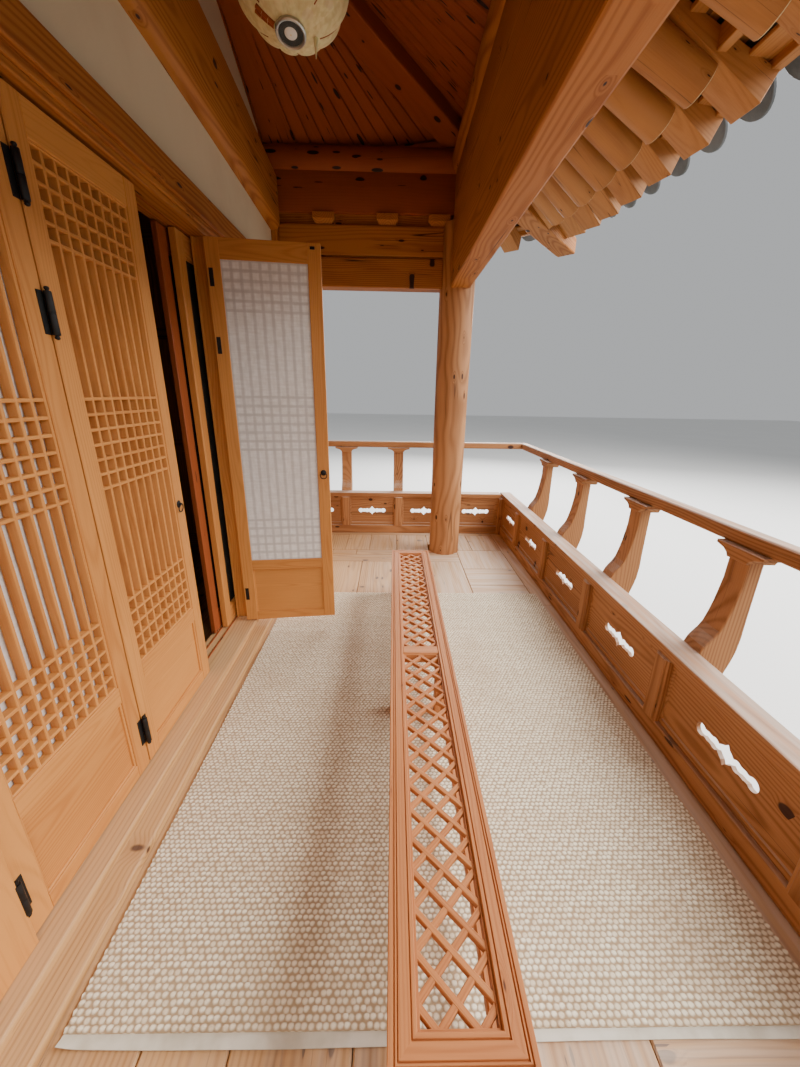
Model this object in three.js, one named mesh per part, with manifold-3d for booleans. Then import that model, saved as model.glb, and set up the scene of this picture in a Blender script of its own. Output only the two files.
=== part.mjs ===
// A one-bay timber house with a railed veranda, folding lattice doors and a tiled hip-and-gable roof.
// Millimetres, +Z up, origin on the ground at the middle of the house, veranda facing -Y.
import * as THREE from 'three';
import { mergeVertices } from 'three/addons/utils/BufferGeometryUtils.js';
import Module from 'manifold-3d';

const wasm = await Module();
wasm.setup();

// Driving dimensions
const gap = 0.3;                 // clearance kept between two pieces that touch
const floorTop = 600;            // veranda floor above the ground
const bayHalf = 2140;            // column centre line at each end
const frontLine = -1870;         // front column row
const wallLine = -455;           // row of columns in the door wall
const backLine = 1870;           // back column row
const roundRadius = 133;         // front columns
const postHalf = 115;            // half width of the square columns
const columnTop = floorTop + 2500;
const beamBottom = floorTop + 2081;
const purlinMid = floorTop + 2850;
const purlinRadius = 90;
const purlinTail = 220;          // purlin end past the corner column
const eaveReach = 1200;          // eave past the purlin line
const rafterSlope = 0.4;
const rafterRadius = 80;
const deckThick = 40;
const tileThick = 170;           // boards, earth and tiles together
const cornerLift = 280;          // rise of the eave at a corner
const cornerOut = 80;            // corner drawn out past the straight eave
const liftDepth = 2000;          // distance up the slope over which the lift fades
const vergeHalf = 1650;          // half length of the gabled upper roof
const gableHalf = 1400;          // gable wall plane
const doorLeft = -742;           // clear door opening
const doorRight = 822;
const doorFace = -530;           // outer face of the closed leaves
const sillTop = floorTop + 60;
const lintelBottom = floorTop + 2006;
const lintelTop = floorTop + 2151;
const leafWide = 512;
const leafThick = 40;
const leafBottom = floorTop + 66;
const leafTop = floorTop + 1993;
const railInner = -2498;         // inner plane of the front rail
const railEnd = 2609;            // inner plane of the end rails
const railBack = -354;           // where the end rails stop
const parallelEnd = 2480;        // inner end of the parallel rafters, measured in from the eave
const fanEnd = 1650;             // inner end of the fanned rafters
const fanApex = 2615;            // point on the door wall from which the fans spread
const fanEdge = 120;             // last fanned rafter, in from the corner
const hipEnd = 2500;             // inner end of the hip rafters
const lapWide = 110;             // breadth of the door jambs
const baseMargin = 150;          // masonry base past the column lines
const panelThick = 40;
const capTop = floorTop + 413;
const handrailTop = floorTop + 890;
const handrailOut = 225;         // handrail centre outside the rail's inner plane
const handrailHalf = 32;
const capOver = 58;              // reach of the cap outside the panels
const frontPitch = 690;
const endPitch = 520;

const wellAbove = 4000;          // height past every column, for cuts
const eaveX = bayHalf + eaveReach;
const eaveY = backLine + eaveReach;
const purlinTop = purlinMid + purlinRadius;
const slopeLength = Math.hypot(1, rafterSlope);
const rafterDrop = 2 * rafterRadius * Math.cos(Math.PI / 6) - 10;
const deckAtPurlin = purlinMid + (purlinRadius + 0.5) * slopeLength + rafterDrop * slopeLength;
const deckAtEave = deckAtPurlin - rafterSlope * eaveReach;
const tileAtEave = deckAtEave + deckThick + tileThick + 2;

const colours = {
  pine: ['#c98a52', 0.6, 0],
  darkPine: ['#9a4f22', 0.6, 0],
  floorPine: ['#bb8350', 0.55, 0],
  weathered: ['#b08468', 0.75, 0],
  paper: ['#f0ede6', 0.9, 0],
  plaster: ['#e4e0d6', 0.9, 0],
  granite: ['#a3a19b', 0.9, 0],
  tile: ['#3d4144', 0.7, 0],
  glass: ['#2a2e2c', 0.15, 0],
  jute: ['#c9b48c', 0.95, 0],
  lantern: ['#e9dcae', 0.8, 0],
};

const house = new THREE.Group();

function toSolid(geometry) {
  const bare = geometry.clone();
  bare.deleteAttribute('normal');
  bare.deleteAttribute('uv');
  const merged = mergeVertices(bare, 1e-3);
  return new wasm.Manifold(new wasm.Mesh({
    numProp: 3,
    vertProperties: new Float32Array(merged.attributes.position.array),
    triVerts: new Uint32Array(merged.index.array),
  }));
}

function add(name, colour, solid, parent = house) {
  const mesh = solid.getMesh();
  const geometry = new THREE.BufferGeometry();
  geometry.setAttribute('position', new THREE.BufferAttribute(new Float32Array(mesh.vertProperties), 3));
  geometry.setIndex(new THREE.BufferAttribute(new Uint32Array(mesh.triVerts), 1));
  geometry.computeVertexNormals();
  const [color, roughness, metalness] = colours[colour];
  const piece = new THREE.Mesh(geometry, new THREE.MeshStandardMaterial({ color, roughness, metalness }));
  piece.name = name;
  parent.add(piece);
  return piece;
}

function unite(solids) {
  return solids.reduce((sum, next) => sum.add(next));
}

// Box between two corners
function block(x0, x1, y0, y1, z0, z1) {
  const box = new THREE.BoxGeometry(x1 - x0, y1 - y0, z1 - z0);
  return toSolid(box.translate((x0 + x1) / 2, (y0 + y1) / 2, (z0 + z1) / 2));
}

function extrude(points, depth, basis) {
  const shape = new THREE.Shape(points.map(([u, v]) => new THREE.Vector2(u, v)));
  const solid = new THREE.ExtrudeGeometry(shape, { depth, bevelEnabled: false });
  return toSolid(solid.applyMatrix4(basis));
}

// Prisms whose outline is given in (y, z), (x, z) and (x, y)
function prismX(points, x0, x1) {
  const basis = new THREE.Matrix4().makeBasis(
    new THREE.Vector3(0, 1, 0), new THREE.Vector3(0, 0, 1), new THREE.Vector3(1, 0, 0));
  return extrude(points, x1 - x0, basis.setPosition(x0, 0, 0));
}

function prismY(points, y0, y1) {
  const basis = new THREE.Matrix4().makeBasis(
    new THREE.Vector3(1, 0, 0), new THREE.Vector3(0, 0, 1), new THREE.Vector3(0, -1, 0));
  return extrude(points, y1 - y0, basis.setPosition(0, y1, 0));
}

function prismZ(points, z0, z1) {
  return extrude(points, z1 - z0, new THREE.Matrix4().setPosition(0, 0, z0));
}

function upright(x, y, radius, z0, z1, sides = 24) {
  const round = new THREE.CylinderGeometry(radius, radius, z1 - z0, sides);
  return toSolid(round.rotateX(Math.PI / 2).translate(x, y, (z0 + z1) / 2));
}

// Round log from one point to another, with the same side up whichever way it runs
function log(from, to, radius, sides, twist = 0) {
  const run = new THREE.Vector3(...to).sub(new THREE.Vector3(...from));
  const round = new THREE.CylinderGeometry(radius, radius, run.length(), sides);
  round.rotateY(twist).translate(0, run.length() / 2, 0);
  run.normalize();
  const across = new THREE.Vector3().crossVectors(run, new THREE.Vector3(0, 0, 1)).normalize();
  const basis = new THREE.Matrix4().makeBasis(across, run, new THREE.Vector3().crossVectors(across, run));
  return toSolid(round.applyMatrix4(basis.setPosition(...from)));
}

// Roof heights: d is the distance in from the eave, s runs -1..1 from hip to hip
function liftAt(s, d) {
  return cornerLift * Math.abs(s) ** 4 * Math.max(0, 1 - d / liftDepth);
}

function deckHeight(s, d) {
  return deckAtEave + rafterSlope * d + liftAt(s, d);
}

function tileHeight(s, d) {
  return tileAtEave + 0.38 * d + 7.25e-5 * d * d + liftAt(s, d);
}

// Plan place of a roof point on the slope facing -Y, before it is turned to its own side.
// wide is the half length that the slope keeps above the hips
function planPoint(side, s, d, wide) {
  const half = Math.max(wide, side.half - d);
  const out = cornerOut * Math.abs(s) ** 4 * Math.max(0, 1 - d / liftDepth);
  return [s * half + Math.sign(s) * out, -(side.reach - d) - out];
}

const sides = {
  front: { half: eaveX, reach: eaveY, turn: 0 },
  right: { half: eaveY, reach: eaveX, turn: Math.PI / 2 },
  back: { half: eaveX, reach: eaveY, turn: Math.PI },
  left: { half: eaveY, reach: eaveX, turn: -Math.PI / 2 },
};

// Closed curved slab over one slope
function slopeSlab(side, steps, wide, height, thick, columns) {
  const points = [];
  for (const drop of [0, thick]) {
    for (const d of steps) {
      for (let j = 0; j <= columns; j += 1) {
        const s = Math.sin((j / columns - 0.5) * Math.PI * 0.9) / Math.sin(Math.PI * 0.45);
        const [x, y] = planPoint(side, s, d, wide);
        points.push(x * 1.0005, y, height(s, d) - drop);
      }
    }
  }
  const row = columns + 1;
  const below = steps.length * row;
  const faces = [];
  const quad = (a, b, c, e) => faces.push(a, b, c, a, c, e);
  for (let i = 0; i < steps.length - 1; i += 1) {
    for (let j = 0; j < columns; j += 1) {
      const a = i * row + j;
      quad(a, a + 1, a + row + 1, a + row);
      quad(below + a, below + a + row, below + a + row + 1, below + a + 1);
    }
    const left = i * row;
    const right = left + columns;
    quad(left, left + row, below + left + row, below + left);
    quad(right, below + right, below + right + row, right + row);
  }
  const last = (steps.length - 1) * row;
  for (let j = 0; j < columns; j += 1) {
    quad(j, below + j, below + j + 1, j + 1);
    quad(last + j, last + j + 1, below + last + j + 1, below + last + j);
  }
  const slab = new THREE.BufferGeometry();
  slab.setAttribute('position', new THREE.Float32BufferAttribute(points, 3));
  slab.setIndex(faces);
  return toSolid(slab.rotateZ(side.turn));
}

// Masonry base under the room, and the stones that carry the two front columns
add('room_base', 'granite', block(
  -bayHalf - baseMargin, bayHalf + baseMargin, wallLine - postHalf, backLine + baseMargin, 0, floorTop));
const innerHalf = bayHalf - postHalf - 1;
add('room_floor', 'floorPine',
  block(-innerHalf, innerHalf, doorFace + 140, backLine - postHalf - 1, floorTop + gap, floorTop + 20));

const stoneTall = 450;
function stoneShape(x, grow) {
  const stone = new THREE.CylinderGeometry(215 + grow, 270 + grow, stoneTall, 4);
  stone.rotateY(Math.PI / 4).rotateX(Math.PI / 2);
  return toSolid(stone.translate(x, frontLine, stoneTall / 2));
}

const ends = { left: -1, right: 1 };
for (const [name, sign] of Object.entries(ends)) {
  add(`stone_front_${name}`, 'granite', stoneShape(sign * bayHalf, 0));
  add(`column_front_${name}`, 'pine',
    upright(sign * bayHalf, frontLine, roundRadius, stoneTall + gap, columnTop));
  for (const [row, y] of [['wall', wallLine], ['back', backLine]]) {
    const x = sign * bayHalf;
    add(`column_${row}_${name}`, 'pine',
      block(x - postHalf, x + postHalf, y - postHalf, y + postHalf, floorTop + gap, columnTop));
  }
}
const columnRoom = unite([-1, 1].map(
  (sign) => upright(sign * bayHalf, frontLine, roundRadius + gap, 0, wellAbove)));
const postRoom = unite([-1, 1].map((sign) => block(
  sign * bayHalf - postHalf - gap, sign * bayHalf + postHalf + gap,
  wallLine - postHalf - gap, wallLine + postHalf + gap, floorTop - 1, wellAbove)));
const stoneRoom = unite([-1, 1].map((sign) => stoneShape(sign * bayHalf, 1)));

// Veranda floor, wrapping past the corner of the door wall, and the timber frame under it
const floorFront = railInner - panelThick - 20;
const floorSide = railEnd + panelThick + 20;
const baseSide = bayHalf + baseMargin + gap;
const baseFront = wallLine - postHalf - gap;
const floorOutline = [
  [-floorSide, floorFront], [floorSide, floorFront], [floorSide, railBack], [baseSide, railBack],
  [baseSide, baseFront], [-baseSide, baseFront], [-baseSide, railBack], [-floorSide, railBack],
];
const boardThick = 45;
add('veranda_floor', 'floorPine',
  prismZ(floorOutline, floorTop - boardThick, floorTop).subtract(columnRoom));

function verandaFrame() {
  const top = floorTop - boardThick - gap;
  const low = top - 155;
  const joistHalf = 45;
  const pierHalf = 75;
  const backPost = 120;
  const sideJoist = bayHalf + 220;
  const parts = [];
  for (const y of [floorFront + joistHalf, frontLine, baseFront - backPost / 2]) {
    parts.push(block(-floorSide, floorSide, y - joistHalf, y + joistHalf, low, top));
  }
  const joists = [0, bayHalf / 2, sideJoist, floorSide - joistHalf];
  for (const x of [...joists.slice(1).map((at) => -at), ...joists]) {
    const back = Math.abs(x) > baseSide ? railBack : baseFront - 15;
    parts.push(block(x - joistHalf, x + joistHalf, floorFront, back, low, top));
  }
  for (const x of [-bayHalf / 2, 0, bayHalf / 2]) {
    parts.push(block(x - pierHalf, x + pierHalf, frontLine - pierHalf, frontLine + pierHalf, 0, top));
  }
  for (const x of [-sideJoist, sideJoist]) {
    parts.push(block(x - backPost / 2, x + backPost / 2, baseFront - backPost, baseFront, 0, top));
  }
  return unite(parts).subtract(columnRoom).subtract(stoneRoom);
}
add('veranda_frame', 'pine', verandaFrame());

// Door wall: stepped sill, lintel, jambs, plaster beside and above
const wallSpan = bayHalf - postHalf - gap;
const frameBack = doorFace + 135;
const jambBack = doorFace + 55;
add('door_sill', 'pine', prismX([
  [doorFace - 140, floorTop + gap], [frameBack, floorTop + gap], [frameBack, sillTop],
  [doorFace - 70, sillTop], [doorFace - 85, floorTop + 32], [doorFace - 140, floorTop + 32],
], -wallSpan, wallSpan));
add('door_lintel', 'pine', prismX([
  [doorFace - 25, lintelBottom], [frameBack, lintelBottom], [frameBack, lintelTop],
  [doorFace - 45, lintelTop], [doorFace - 45, lintelBottom + 45],
], -wallSpan, wallSpan));

const pivot = [doorRight - 2, doorFace - 11];
const knuckleRadius = 9;
const knuckleTall = 50;
const hingeHeights = [floorTop + 210, floorTop + 1525, floorTop + 1810];

function jamb(sign) {
  const x0 = sign > 0 ? doorRight : doorLeft - lapWide;
  let post = block(x0, x0 + lapWide, doorFace - 15, jambBack, sillTop + gap, lintelBottom - gap);
  if (sign > 0) {
    for (const z of hingeHeights) {
      post = post.subtract(upright(...pivot, knuckleRadius + 4, z - 2, z + knuckleTall + 4, 16));
      post = post.add(upright(...pivot, knuckleRadius, z - knuckleTall, z, 12));
    }
  }
  return post;
}
for (const [name, sign] of Object.entries(ends)) {
  add(`jamb_${name}`, 'pine', jamb(sign));
  const [x0, x1] = sign > 0 ? [doorRight + lapWide + gap, wallSpan] : [-wallSpan, doorLeft - lapWide - gap];
  add(`front_wall_${name}`, 'plaster',
    block(x0, x1, doorFace - 5, jambBack, sillTop + gap, lintelBottom - gap));
}

// Curved log beam in the door wall: its lower and upper edges bow upwards
function bow(x, atEnd, atMiddle) {
  return atEnd + (atMiddle - atEnd) * Math.cos(x / wallSpan * Math.PI / 2);
}
const beamStations = Array.from({ length: 9 }, (_, i) => -wallSpan + (2 * wallSpan * i) / 8);
const beamLow = (x) => bow(x, floorTop + 2410, floorTop + 2490);
const beamHigh = (x) => bow(x, floorTop + 2750, floorTop + 2900);
add('wall_beam', 'pine', prismY([
  ...beamStations.map((x) => [x, beamLow(x)]),
  ...beamStations.slice().reverse().map((x) => [x, beamHigh(x)]),
], wallLine - 145, wallLine + 130));
add('upper_wall', 'plaster', prismY([
  [-wallSpan, lintelTop + gap], [wallSpan, lintelTop + gap],
  ...beamStations.slice().reverse().map((x) => [x, beamLow(x) - gap]),
], doorFace - 5, doorFace + 100));

// Side and back walls of the room, the back one with a window opening
const wallHalf = 60;
const wallTop = columnTop - gap;
for (const [name, sign] of Object.entries(ends)) {
  const x = sign * bayHalf;
  add(`wall_${name}`, 'plaster', block(x - wallHalf, x + wallHalf,
    wallLine + postHalf + gap, backLine - postHalf - gap, floorTop + gap, wallTop));
}
const windowHalf = 480;
const windowLow = floorTop + 900;
const windowHigh = floorTop + 1760;
add('wall_back', 'plaster',
  block(-wallSpan, wallSpan, backLine - wallHalf, backLine + wallHalf, floorTop + gap, wallTop)
    .subtract(block(-windowHalf, windowHalf, backLine - 200, backLine + 200, windowLow, windowHigh)));

// Framed panel with a thinner field: rails and stiles around sunk areas on both faces
function framedPanel(width, low, high, thick, sinks) {
  let panel = block(0, width, 0, thick, low, high);
  for (const [x0, x1, z0, z1, outer, inner] of sinks) {
    if (outer) panel = panel.subtract(block(x0, x1, -1, outer, z0, z1));
    if (inner) panel = panel.subtract(block(x0, x1, thick - inner, thick + 1, z0, z1));
  }
  return panel;
}
add('window_back', 'pine', framedPanel(2 * windowHalf - 2 * gap, windowLow + gap, windowHigh - gap, 50, [
  [60, windowHalf - 30, windowLow + 60, windowHigh - 60, 20, 15],
  [windowHalf + 30, 2 * windowHalf - 62, windowLow + 60, windowHigh - 60, 20, 15],
]).translate([-windowHalf + gap, backLine - 25, 0]));

// Door leaves: local x runs from the free edge to the hinge edge, local y into the room
const stile = 62;
const topRail = 85;
const latticeLow = leafBottom + 375;
const paperThick = 2;
const paperInset = 8;
const latticeField = [stile, leafWide - stile, latticeLow, leafTop - topRail];

function leafSolid() {
  const [x0, x1, z0, z1] = latticeField;
  return framedPanel(leafWide, leafBottom, leafTop, leafThick, [
    [x0, x1, z0, z1, 6, paperInset],
    [x0, x1, leafBottom + 50, latticeLow - 60, 10, 10],
  ]);
}

function paperSolid() {
  const [x0, x1, z0, z1] = latticeField;
  return block(x0 + gap, x1 - gap, leafThick - paperInset + gap, leafThick - paperInset + paperThick + gap,
    z0 + gap, z1 - gap);
}

const leafGap = 6;
const foldA = doorLeft + leafGap;
const foldB = foldA + leafWide + leafGap;
const foldPin = foldB - leafGap / 2;

// Leaf A hangs on the left jamb and carries leaf B, folded flat shut
function foldLeaf(name) {
  let leaf = leafSolid().translate([name === 'a' ? foldA : foldB, doorFace, 0]);
  for (const z of hingeHeights) {
    const [low, high] = [z - knuckleTall, z + knuckleTall];
    if (name === 'a') {
      leaf = leaf.add(upright(foldA - leafGap / 2, pivot[1], knuckleRadius, low, high, 12))
        .add(block(foldA - leafGap / 2, foldA + 24, pivot[1], doorFace + 1, low, high))
        .add(upright(foldPin, pivot[1], knuckleRadius, low, high, 12))
        .add(block(foldPin - 27, foldPin, pivot[1], doorFace + 1, low, high));
    } else {
      leaf = leaf.add(block(foldPin + knuckleRadius + gap, foldPin + 30, pivot[1], doorFace + 1, low, high));
    }
  }
  if (name === 'a') {
    leaf = leaf.subtract(block(foldB - gap, foldB + 30, doorFace - gap, 0, 0, wellAbove));
  }
  return leaf.subtract(block(doorLeft - lapWide, doorLeft + gap, doorFace - 15 - gap, jambBack, 0, wellAbove));
}
for (const [name, start] of [['a', foldA], ['b', foldB]]) {
  add(`fold_leaf_${name}`, 'pine', foldLeaf(name));
  add(`fold_paper_${name}`, 'paper', paperSolid().translate([start, doorFace, 0]));
}

// The swinging leaf turns about its hinge pins and stands open
const openAngle = 97;
const swingDoor = new THREE.Group();
swingDoor.position.set(pivot[0], pivot[1], 0);
swingDoor.rotation.z = THREE.MathUtils.degToRad(openAngle);
house.add(swingDoor);

function swingLeaf() {
  const edge = -3;
  let leaf = leafSolid().translate([edge - leafWide, 11, 0]);
  for (const z of hingeHeights) {
    leaf = leaf.add(upright(0, 0, knuckleRadius, z + gap, z + knuckleTall, 12));
    leaf = leaf.add(block(edge - 30, -2, 3, 12, z + 2, z + knuckleTall - 2));
  }
  return leaf;
}
add('swing_leaf', 'pine', swingLeaf(), swingDoor);
add('swing_paper', 'paper', paperSolid().translate([-3 - leafWide, 11, 0]), swingDoor);

// Glazed sliding door inside, on a runner that stands on the sill
const sashLeft = 690;
const sashWide = 560;
const sashFront = jambBack + 7;
const sashThick = 30;
const sashTop = lintelBottom - 6;
const glassField = [70, sashWide - 70, sillTop + 106, sashTop - 90];
const sash = block(0, sashWide, 0, sashThick, sillTop + 6, sashTop)
  .subtract(block(glassField[0], glassField[1], -1, sashThick + 1, glassField[2], glassField[3]))
  .add(block(20, sashWide - 20, 10, 20, sillTop + gap, sillTop + 7));
add('inner_door', 'pine', sash.translate([sashLeft, sashFront, 0]));
add('inner_glass', 'glass', block(sashLeft + glassField[0] + gap, sashLeft + glassField[1] - gap,
  sashFront + 12, sashFront + 18, glassField[2] + gap, glassField[3] - gap));

// Beams between the columns
add('beam_front', 'pine', block(-bayHalf, bayHalf, frontLine - 83, frontLine + 60, beamBottom, columnTop)
  .subtract(columnRoom));
for (const [name, sign] of Object.entries(ends)) {
  const x = sign * bayHalf;
  const low = block(x - 65, x + 65, frontLine, wallLine, beamBottom, beamBottom + 200);
  const high = block(x - 60, x + 60, frontLine, wallLine, beamBottom + 190, columnTop);
  add(`beam_${name}`, 'darkPine', low.add(high).subtract(columnRoom).subtract(postRoom));
}

// Hip rafters, set on the diagonal of each corner
const hipTopDrop = 36;
const hipDeep = 240;
const hipHalf = 90;

function hipHeight(d) {
  return deckHeight(1, d) - hipTopDrop - 60 * Math.max(0, 1 - d / liftDepth);
}

function hipShape(corner, grow) {
  const stations = [hipEnd, liftDepth, eaveReach, eaveReach / 2, 40];
  const plan = (d) => Math.SQRT2 * (planPoint(sides.front, 1, d, 0)[0] - (sides.front.half - hipEnd));
  const top = stations.map((d) => [plan(d), hipHeight(d) + grow]);
  const bottom = stations.slice().reverse().map((d) => [plan(d), hipHeight(d) - hipDeep - grow]);
  const side = prismY([...bottom, ...top], -hipHalf - grow, hipHalf + grow);
  const start = [eaveX - hipEnd, eaveY - hipEnd];
  const angle = { front_right: -45, back_right: 45, back_left: 135, front_left: -135 }[corner];
  const turned = side.rotate([0, 0, angle]);
  const signX = corner.endsWith('right') ? 1 : -1;
  const signY = corner.startsWith('back') ? 1 : -1;
  return turned.translate([signX * start[0], signY * start[1], 0]);
}
const corners = ['front_left', 'front_right', 'back_left', 'back_right'];
const hipRoom = unite(corners.map((corner) => hipShape(corner, gap)));

// Roof deck on round rafters: parallel over the middle, fanned out towards the corners
const slopeSteps = [0, (eaveX - vergeHalf) / 2, eaveX - vergeHalf];
const deckSteps = [...slopeSteps, liftDepth, 3000];
const slopeColumns = 6;
const rafterTwist = Math.PI / 6;

function rafterLog(from, to, place) {
  const ends3 = [from, to].map(([s, d, x]) => {
    const [, y] = planPoint(place, s, d, 0);
    return [x, y, deckHeight(s, d) + (10 - rafterRadius * Math.cos(Math.PI / 6)) * slopeLength];
  });
  return log(ends3[0], ends3[1], rafterRadius, 6, rafterTwist);
}

// Rafters of one side: parallel ones at the given places, then a fan towards each corner
function sideRafters(place, parallel, fanFrom, fanCount) {
  const parts = [];
  const apexX = place.half - fanApex;
  const tip = 15;
  for (const x of parallel) {
    parts.push(rafterLog([0, tip, x], [0, parallelEnd, x], place));
  }
  for (const sign of [-1, 1]) {
    for (let i = 0; i < fanCount; i += 1) {
      const edge = fanFrom + ((place.half - fanEdge - fanFrom) * i) / (fanCount - 1);
      const atInner = apexX + (edge - apexX) * (1 - fanEnd / fanApex);
      const sEdge = edge / place.half;
      const sInner = Math.min(1, atInner / (place.half - fanEnd));
      parts.push(rafterLog([sEdge, tip, sign * edge], [sInner, fanEnd, sign * atInner], place));
    }
  }
  return unite(parts).rotate([0, 0, THREE.MathUtils.radToDeg(place.turn)]);
}

// Tiled roof: two long slopes to the ridge, two end slopes up to the gables
const mainSteps = [...slopeSteps, liftDepth, 2500, eaveY + 1];
const endSteps = [...slopeSteps, eaveX - gableHalf];
const tiles = unite([
  slopeSlab(sides.front, mainSteps, vergeHalf, tileHeight, tileThick, slopeColumns),
  slopeSlab(sides.back, mainSteps, vergeHalf, tileHeight, tileThick, slopeColumns),
  slopeSlab(sides.right, endSteps, 0, tileHeight, tileThick, slopeColumns),
  slopeSlab(sides.left, endSteps, 0, tileHeight, tileThick, slopeColumns),
]);

// Rows of cover tiles, as low ribs that stop short of the ridges and gables
const ribPitch = 300;
const ribFoot = 72;               // half width where the rib leaves the slope
const ribCrest = 46;              // half width along its top
const ribHigh = 58;
const ribSunk = 60;
const ribStart = 6;
const ribFromHip = 225;
const ribMainTop = 2900;
const ribEndTop = 1600;
const ribSection = [[-ribFoot, -ribSunk], [ribFoot, -ribSunk], [ribCrest, ribHigh], [-ribCrest, ribHigh]];

function tileRib(side, x, wide, top) {
  const points = [];
  const faces = [];
  const steps = 3;
  const corners = ribSection.length;
  const quad = (a, b, c, e) => faces.push(a, b, c, a, c, e);
  for (let i = 0; i <= steps; i += 1) {
    const d = ribStart + ((top - ribStart) * i) / steps;
    const s = x / Math.max(wide, side.half - d);
    const [px, py] = planPoint(side, s, d, wide);
    for (const [across, rise] of ribSection) {
      points.push(px + across, py, tileHeight(s, d) + rise);
    }
  }
  for (let i = 0; i < steps; i += 1) {
    for (let k = 0; k < corners; k += 1) {
      const a = i * corners + k;
      const b = i * corners + ((k + 1) % corners);
      quad(a, a + corners, b + corners, b);
    }
  }
  const last = steps * corners;
  quad(0, 1, 2, 3);
  quad(last + 3, last + 2, last + 1, last);
  const rib = new THREE.BufferGeometry();
  rib.setAttribute('position', new THREE.Float32BufferAttribute(points, 3));
  rib.setIndex(faces);
  return toSolid(rib.rotateZ(side.turn));
}

function slopeRibs(side, wide, highest) {
  const ribs = [];
  for (let x = ribPitch / 2; x < side.half - 120; x += ribPitch) {
    const top = x < wide - ribFromHip ? highest : Math.min(highest, side.half - x - ribFromHip);
    if (top > ribPitch / 2) ribs.push(tileRib(side, x, wide, top), tileRib(side, -x, wide, top));
  }
  return ribs;
}
add('roof_tiles', 'tile', unite([
  tiles,
  ...slopeRibs(sides.front, vergeHalf, ribMainTop),
  ...slopeRibs(sides.back, vergeHalf, ribMainTop),
  ...slopeRibs(sides.right, 0, ribEndTop),
  ...slopeRibs(sides.left, 0, ribEndTop),
]));

const deckSlabs = Object.values(sides).map((place) => slopeSlab(
  place, deckSteps, 0, (s, d) => deckHeight(s, d) + deckThick, deckThick, slopeColumns));
const deckCap = block(-400, 400, -100, 100, deckHeight(0, 2990), deckHeight(0, 2990) + deckThick);
const deck = unite([...deckSlabs, deckCap]);
const longRafters = [[-500, -170, 170, 500], 900, 8];
const endRafters = [[-330, 0, 330], 800, 7];
const rafterSets = [
  sideRafters(sides.front, ...longRafters),
  sideRafters(sides.back, ...longRafters),
  sideRafters(sides.right, ...endRafters),
  sideRafters(sides.left, ...endRafters),
];
const rafterRoof = unite(rafterSets).subtract(hipRoom).add(deck).subtract(tiles.translate([0, 0, -gap]));
add('rafter_roof', 'darkPine', rafterRoof);

// Purlins: a round log on a square beam, halved over each other at the corners
function purlinShape(half, line, turn, grow) {
  const wide = 55 + grow;
  const round = log([-half, line, purlinMid], [half, line, purlinMid], purlinRadius + grow, 16, Math.PI / 16);
  const beam = block(-half, half, line - wide, line + wide, columnTop + gap - grow, purlinMid);
  const reach = half - purlinTail;
  const wedgeSteps = Array.from({ length: 5 }, (_, i) => reach * (0.6 + 0.4 * i / 4));
  const wedgeTop = (x) => purlinTop - 32 + liftAt(x / reach, eaveReach);
  const wedges = [-1, 1].map((sign) => {
    const outline = [
      [reach * 0.6, purlinTop - 40], [reach, purlinTop - 40],
      ...wedgeSteps.slice().reverse().map((x) => [x, wedgeTop(x)]),
    ];
    const points = sign > 0 ? outline : outline.map(([x, z]) => [-x, z]).reverse();
    return prismY(points, line - 45 - grow, line + 45 + grow);
  });
  return unite([round, beam, ...wedges]).rotate([0, 0, THREE.MathUtils.radToDeg(turn)]);
}
const notch = purlinRadius + 1;
const crossLow = (x, y) => block(
  x - notch, x + notch, y - notch, y + notch, columnTop - 5, purlinMid - 20 + gap);
const crossHigh = (x, y) => block(x - notch, x + notch, y - notch, y + notch, purlinMid - 20, purlinTop + 400);
const crossings = [[-bayHalf, frontLine], [bayHalf, frontLine], [-bayHalf, backLine], [bayHalf, backLine]];
const upperNotches = unite(crossings.map(([x, y]) => crossHigh(x, y)));
const lowerNotches = unite(crossings.map(([x, y]) => crossLow(x, y)));
const purlinSets = {
  front: [bayHalf + purlinTail, frontLine, 0, upperNotches],
  back: [bayHalf + purlinTail, frontLine, Math.PI, upperNotches],
  right: [backLine + purlinTail, -bayHalf, Math.PI / 2, lowerNotches],
  left: [backLine + purlinTail, -bayHalf, -Math.PI / 2, lowerNotches],
};
for (const [name, [half, line, turn, notches]] of Object.entries(purlinSets)) {
  add(`purlin_${name}`, 'darkPine',
    purlinShape(half, line, turn, 0).subtract(notches).subtract(hipRoom));
}
for (const corner of corners) {
  add(`hip_rafter_${corner}`, 'darkPine', hipShape(corner, 0));
}

// Plaster above the curved beam, up to the rafters' boards
const atticTop = deckHeight(0, wallLine - 40 + eaveY) - 2;
const atticFlat = eaveX - (wallLine - 40 + eaveY);
const atticSide = deckHeight(0, eaveX - wallSpan) - 2;
add('attic_wall', 'plaster', prismY([
  ...beamStations.map((x) => [x, beamHigh(x) + gap]),
  [wallSpan, atticSide], [atticFlat, atticTop], [-atticFlat, atticTop], [-wallSpan, atticSide],
], wallLine - 40, wallLine + 40));

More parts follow.
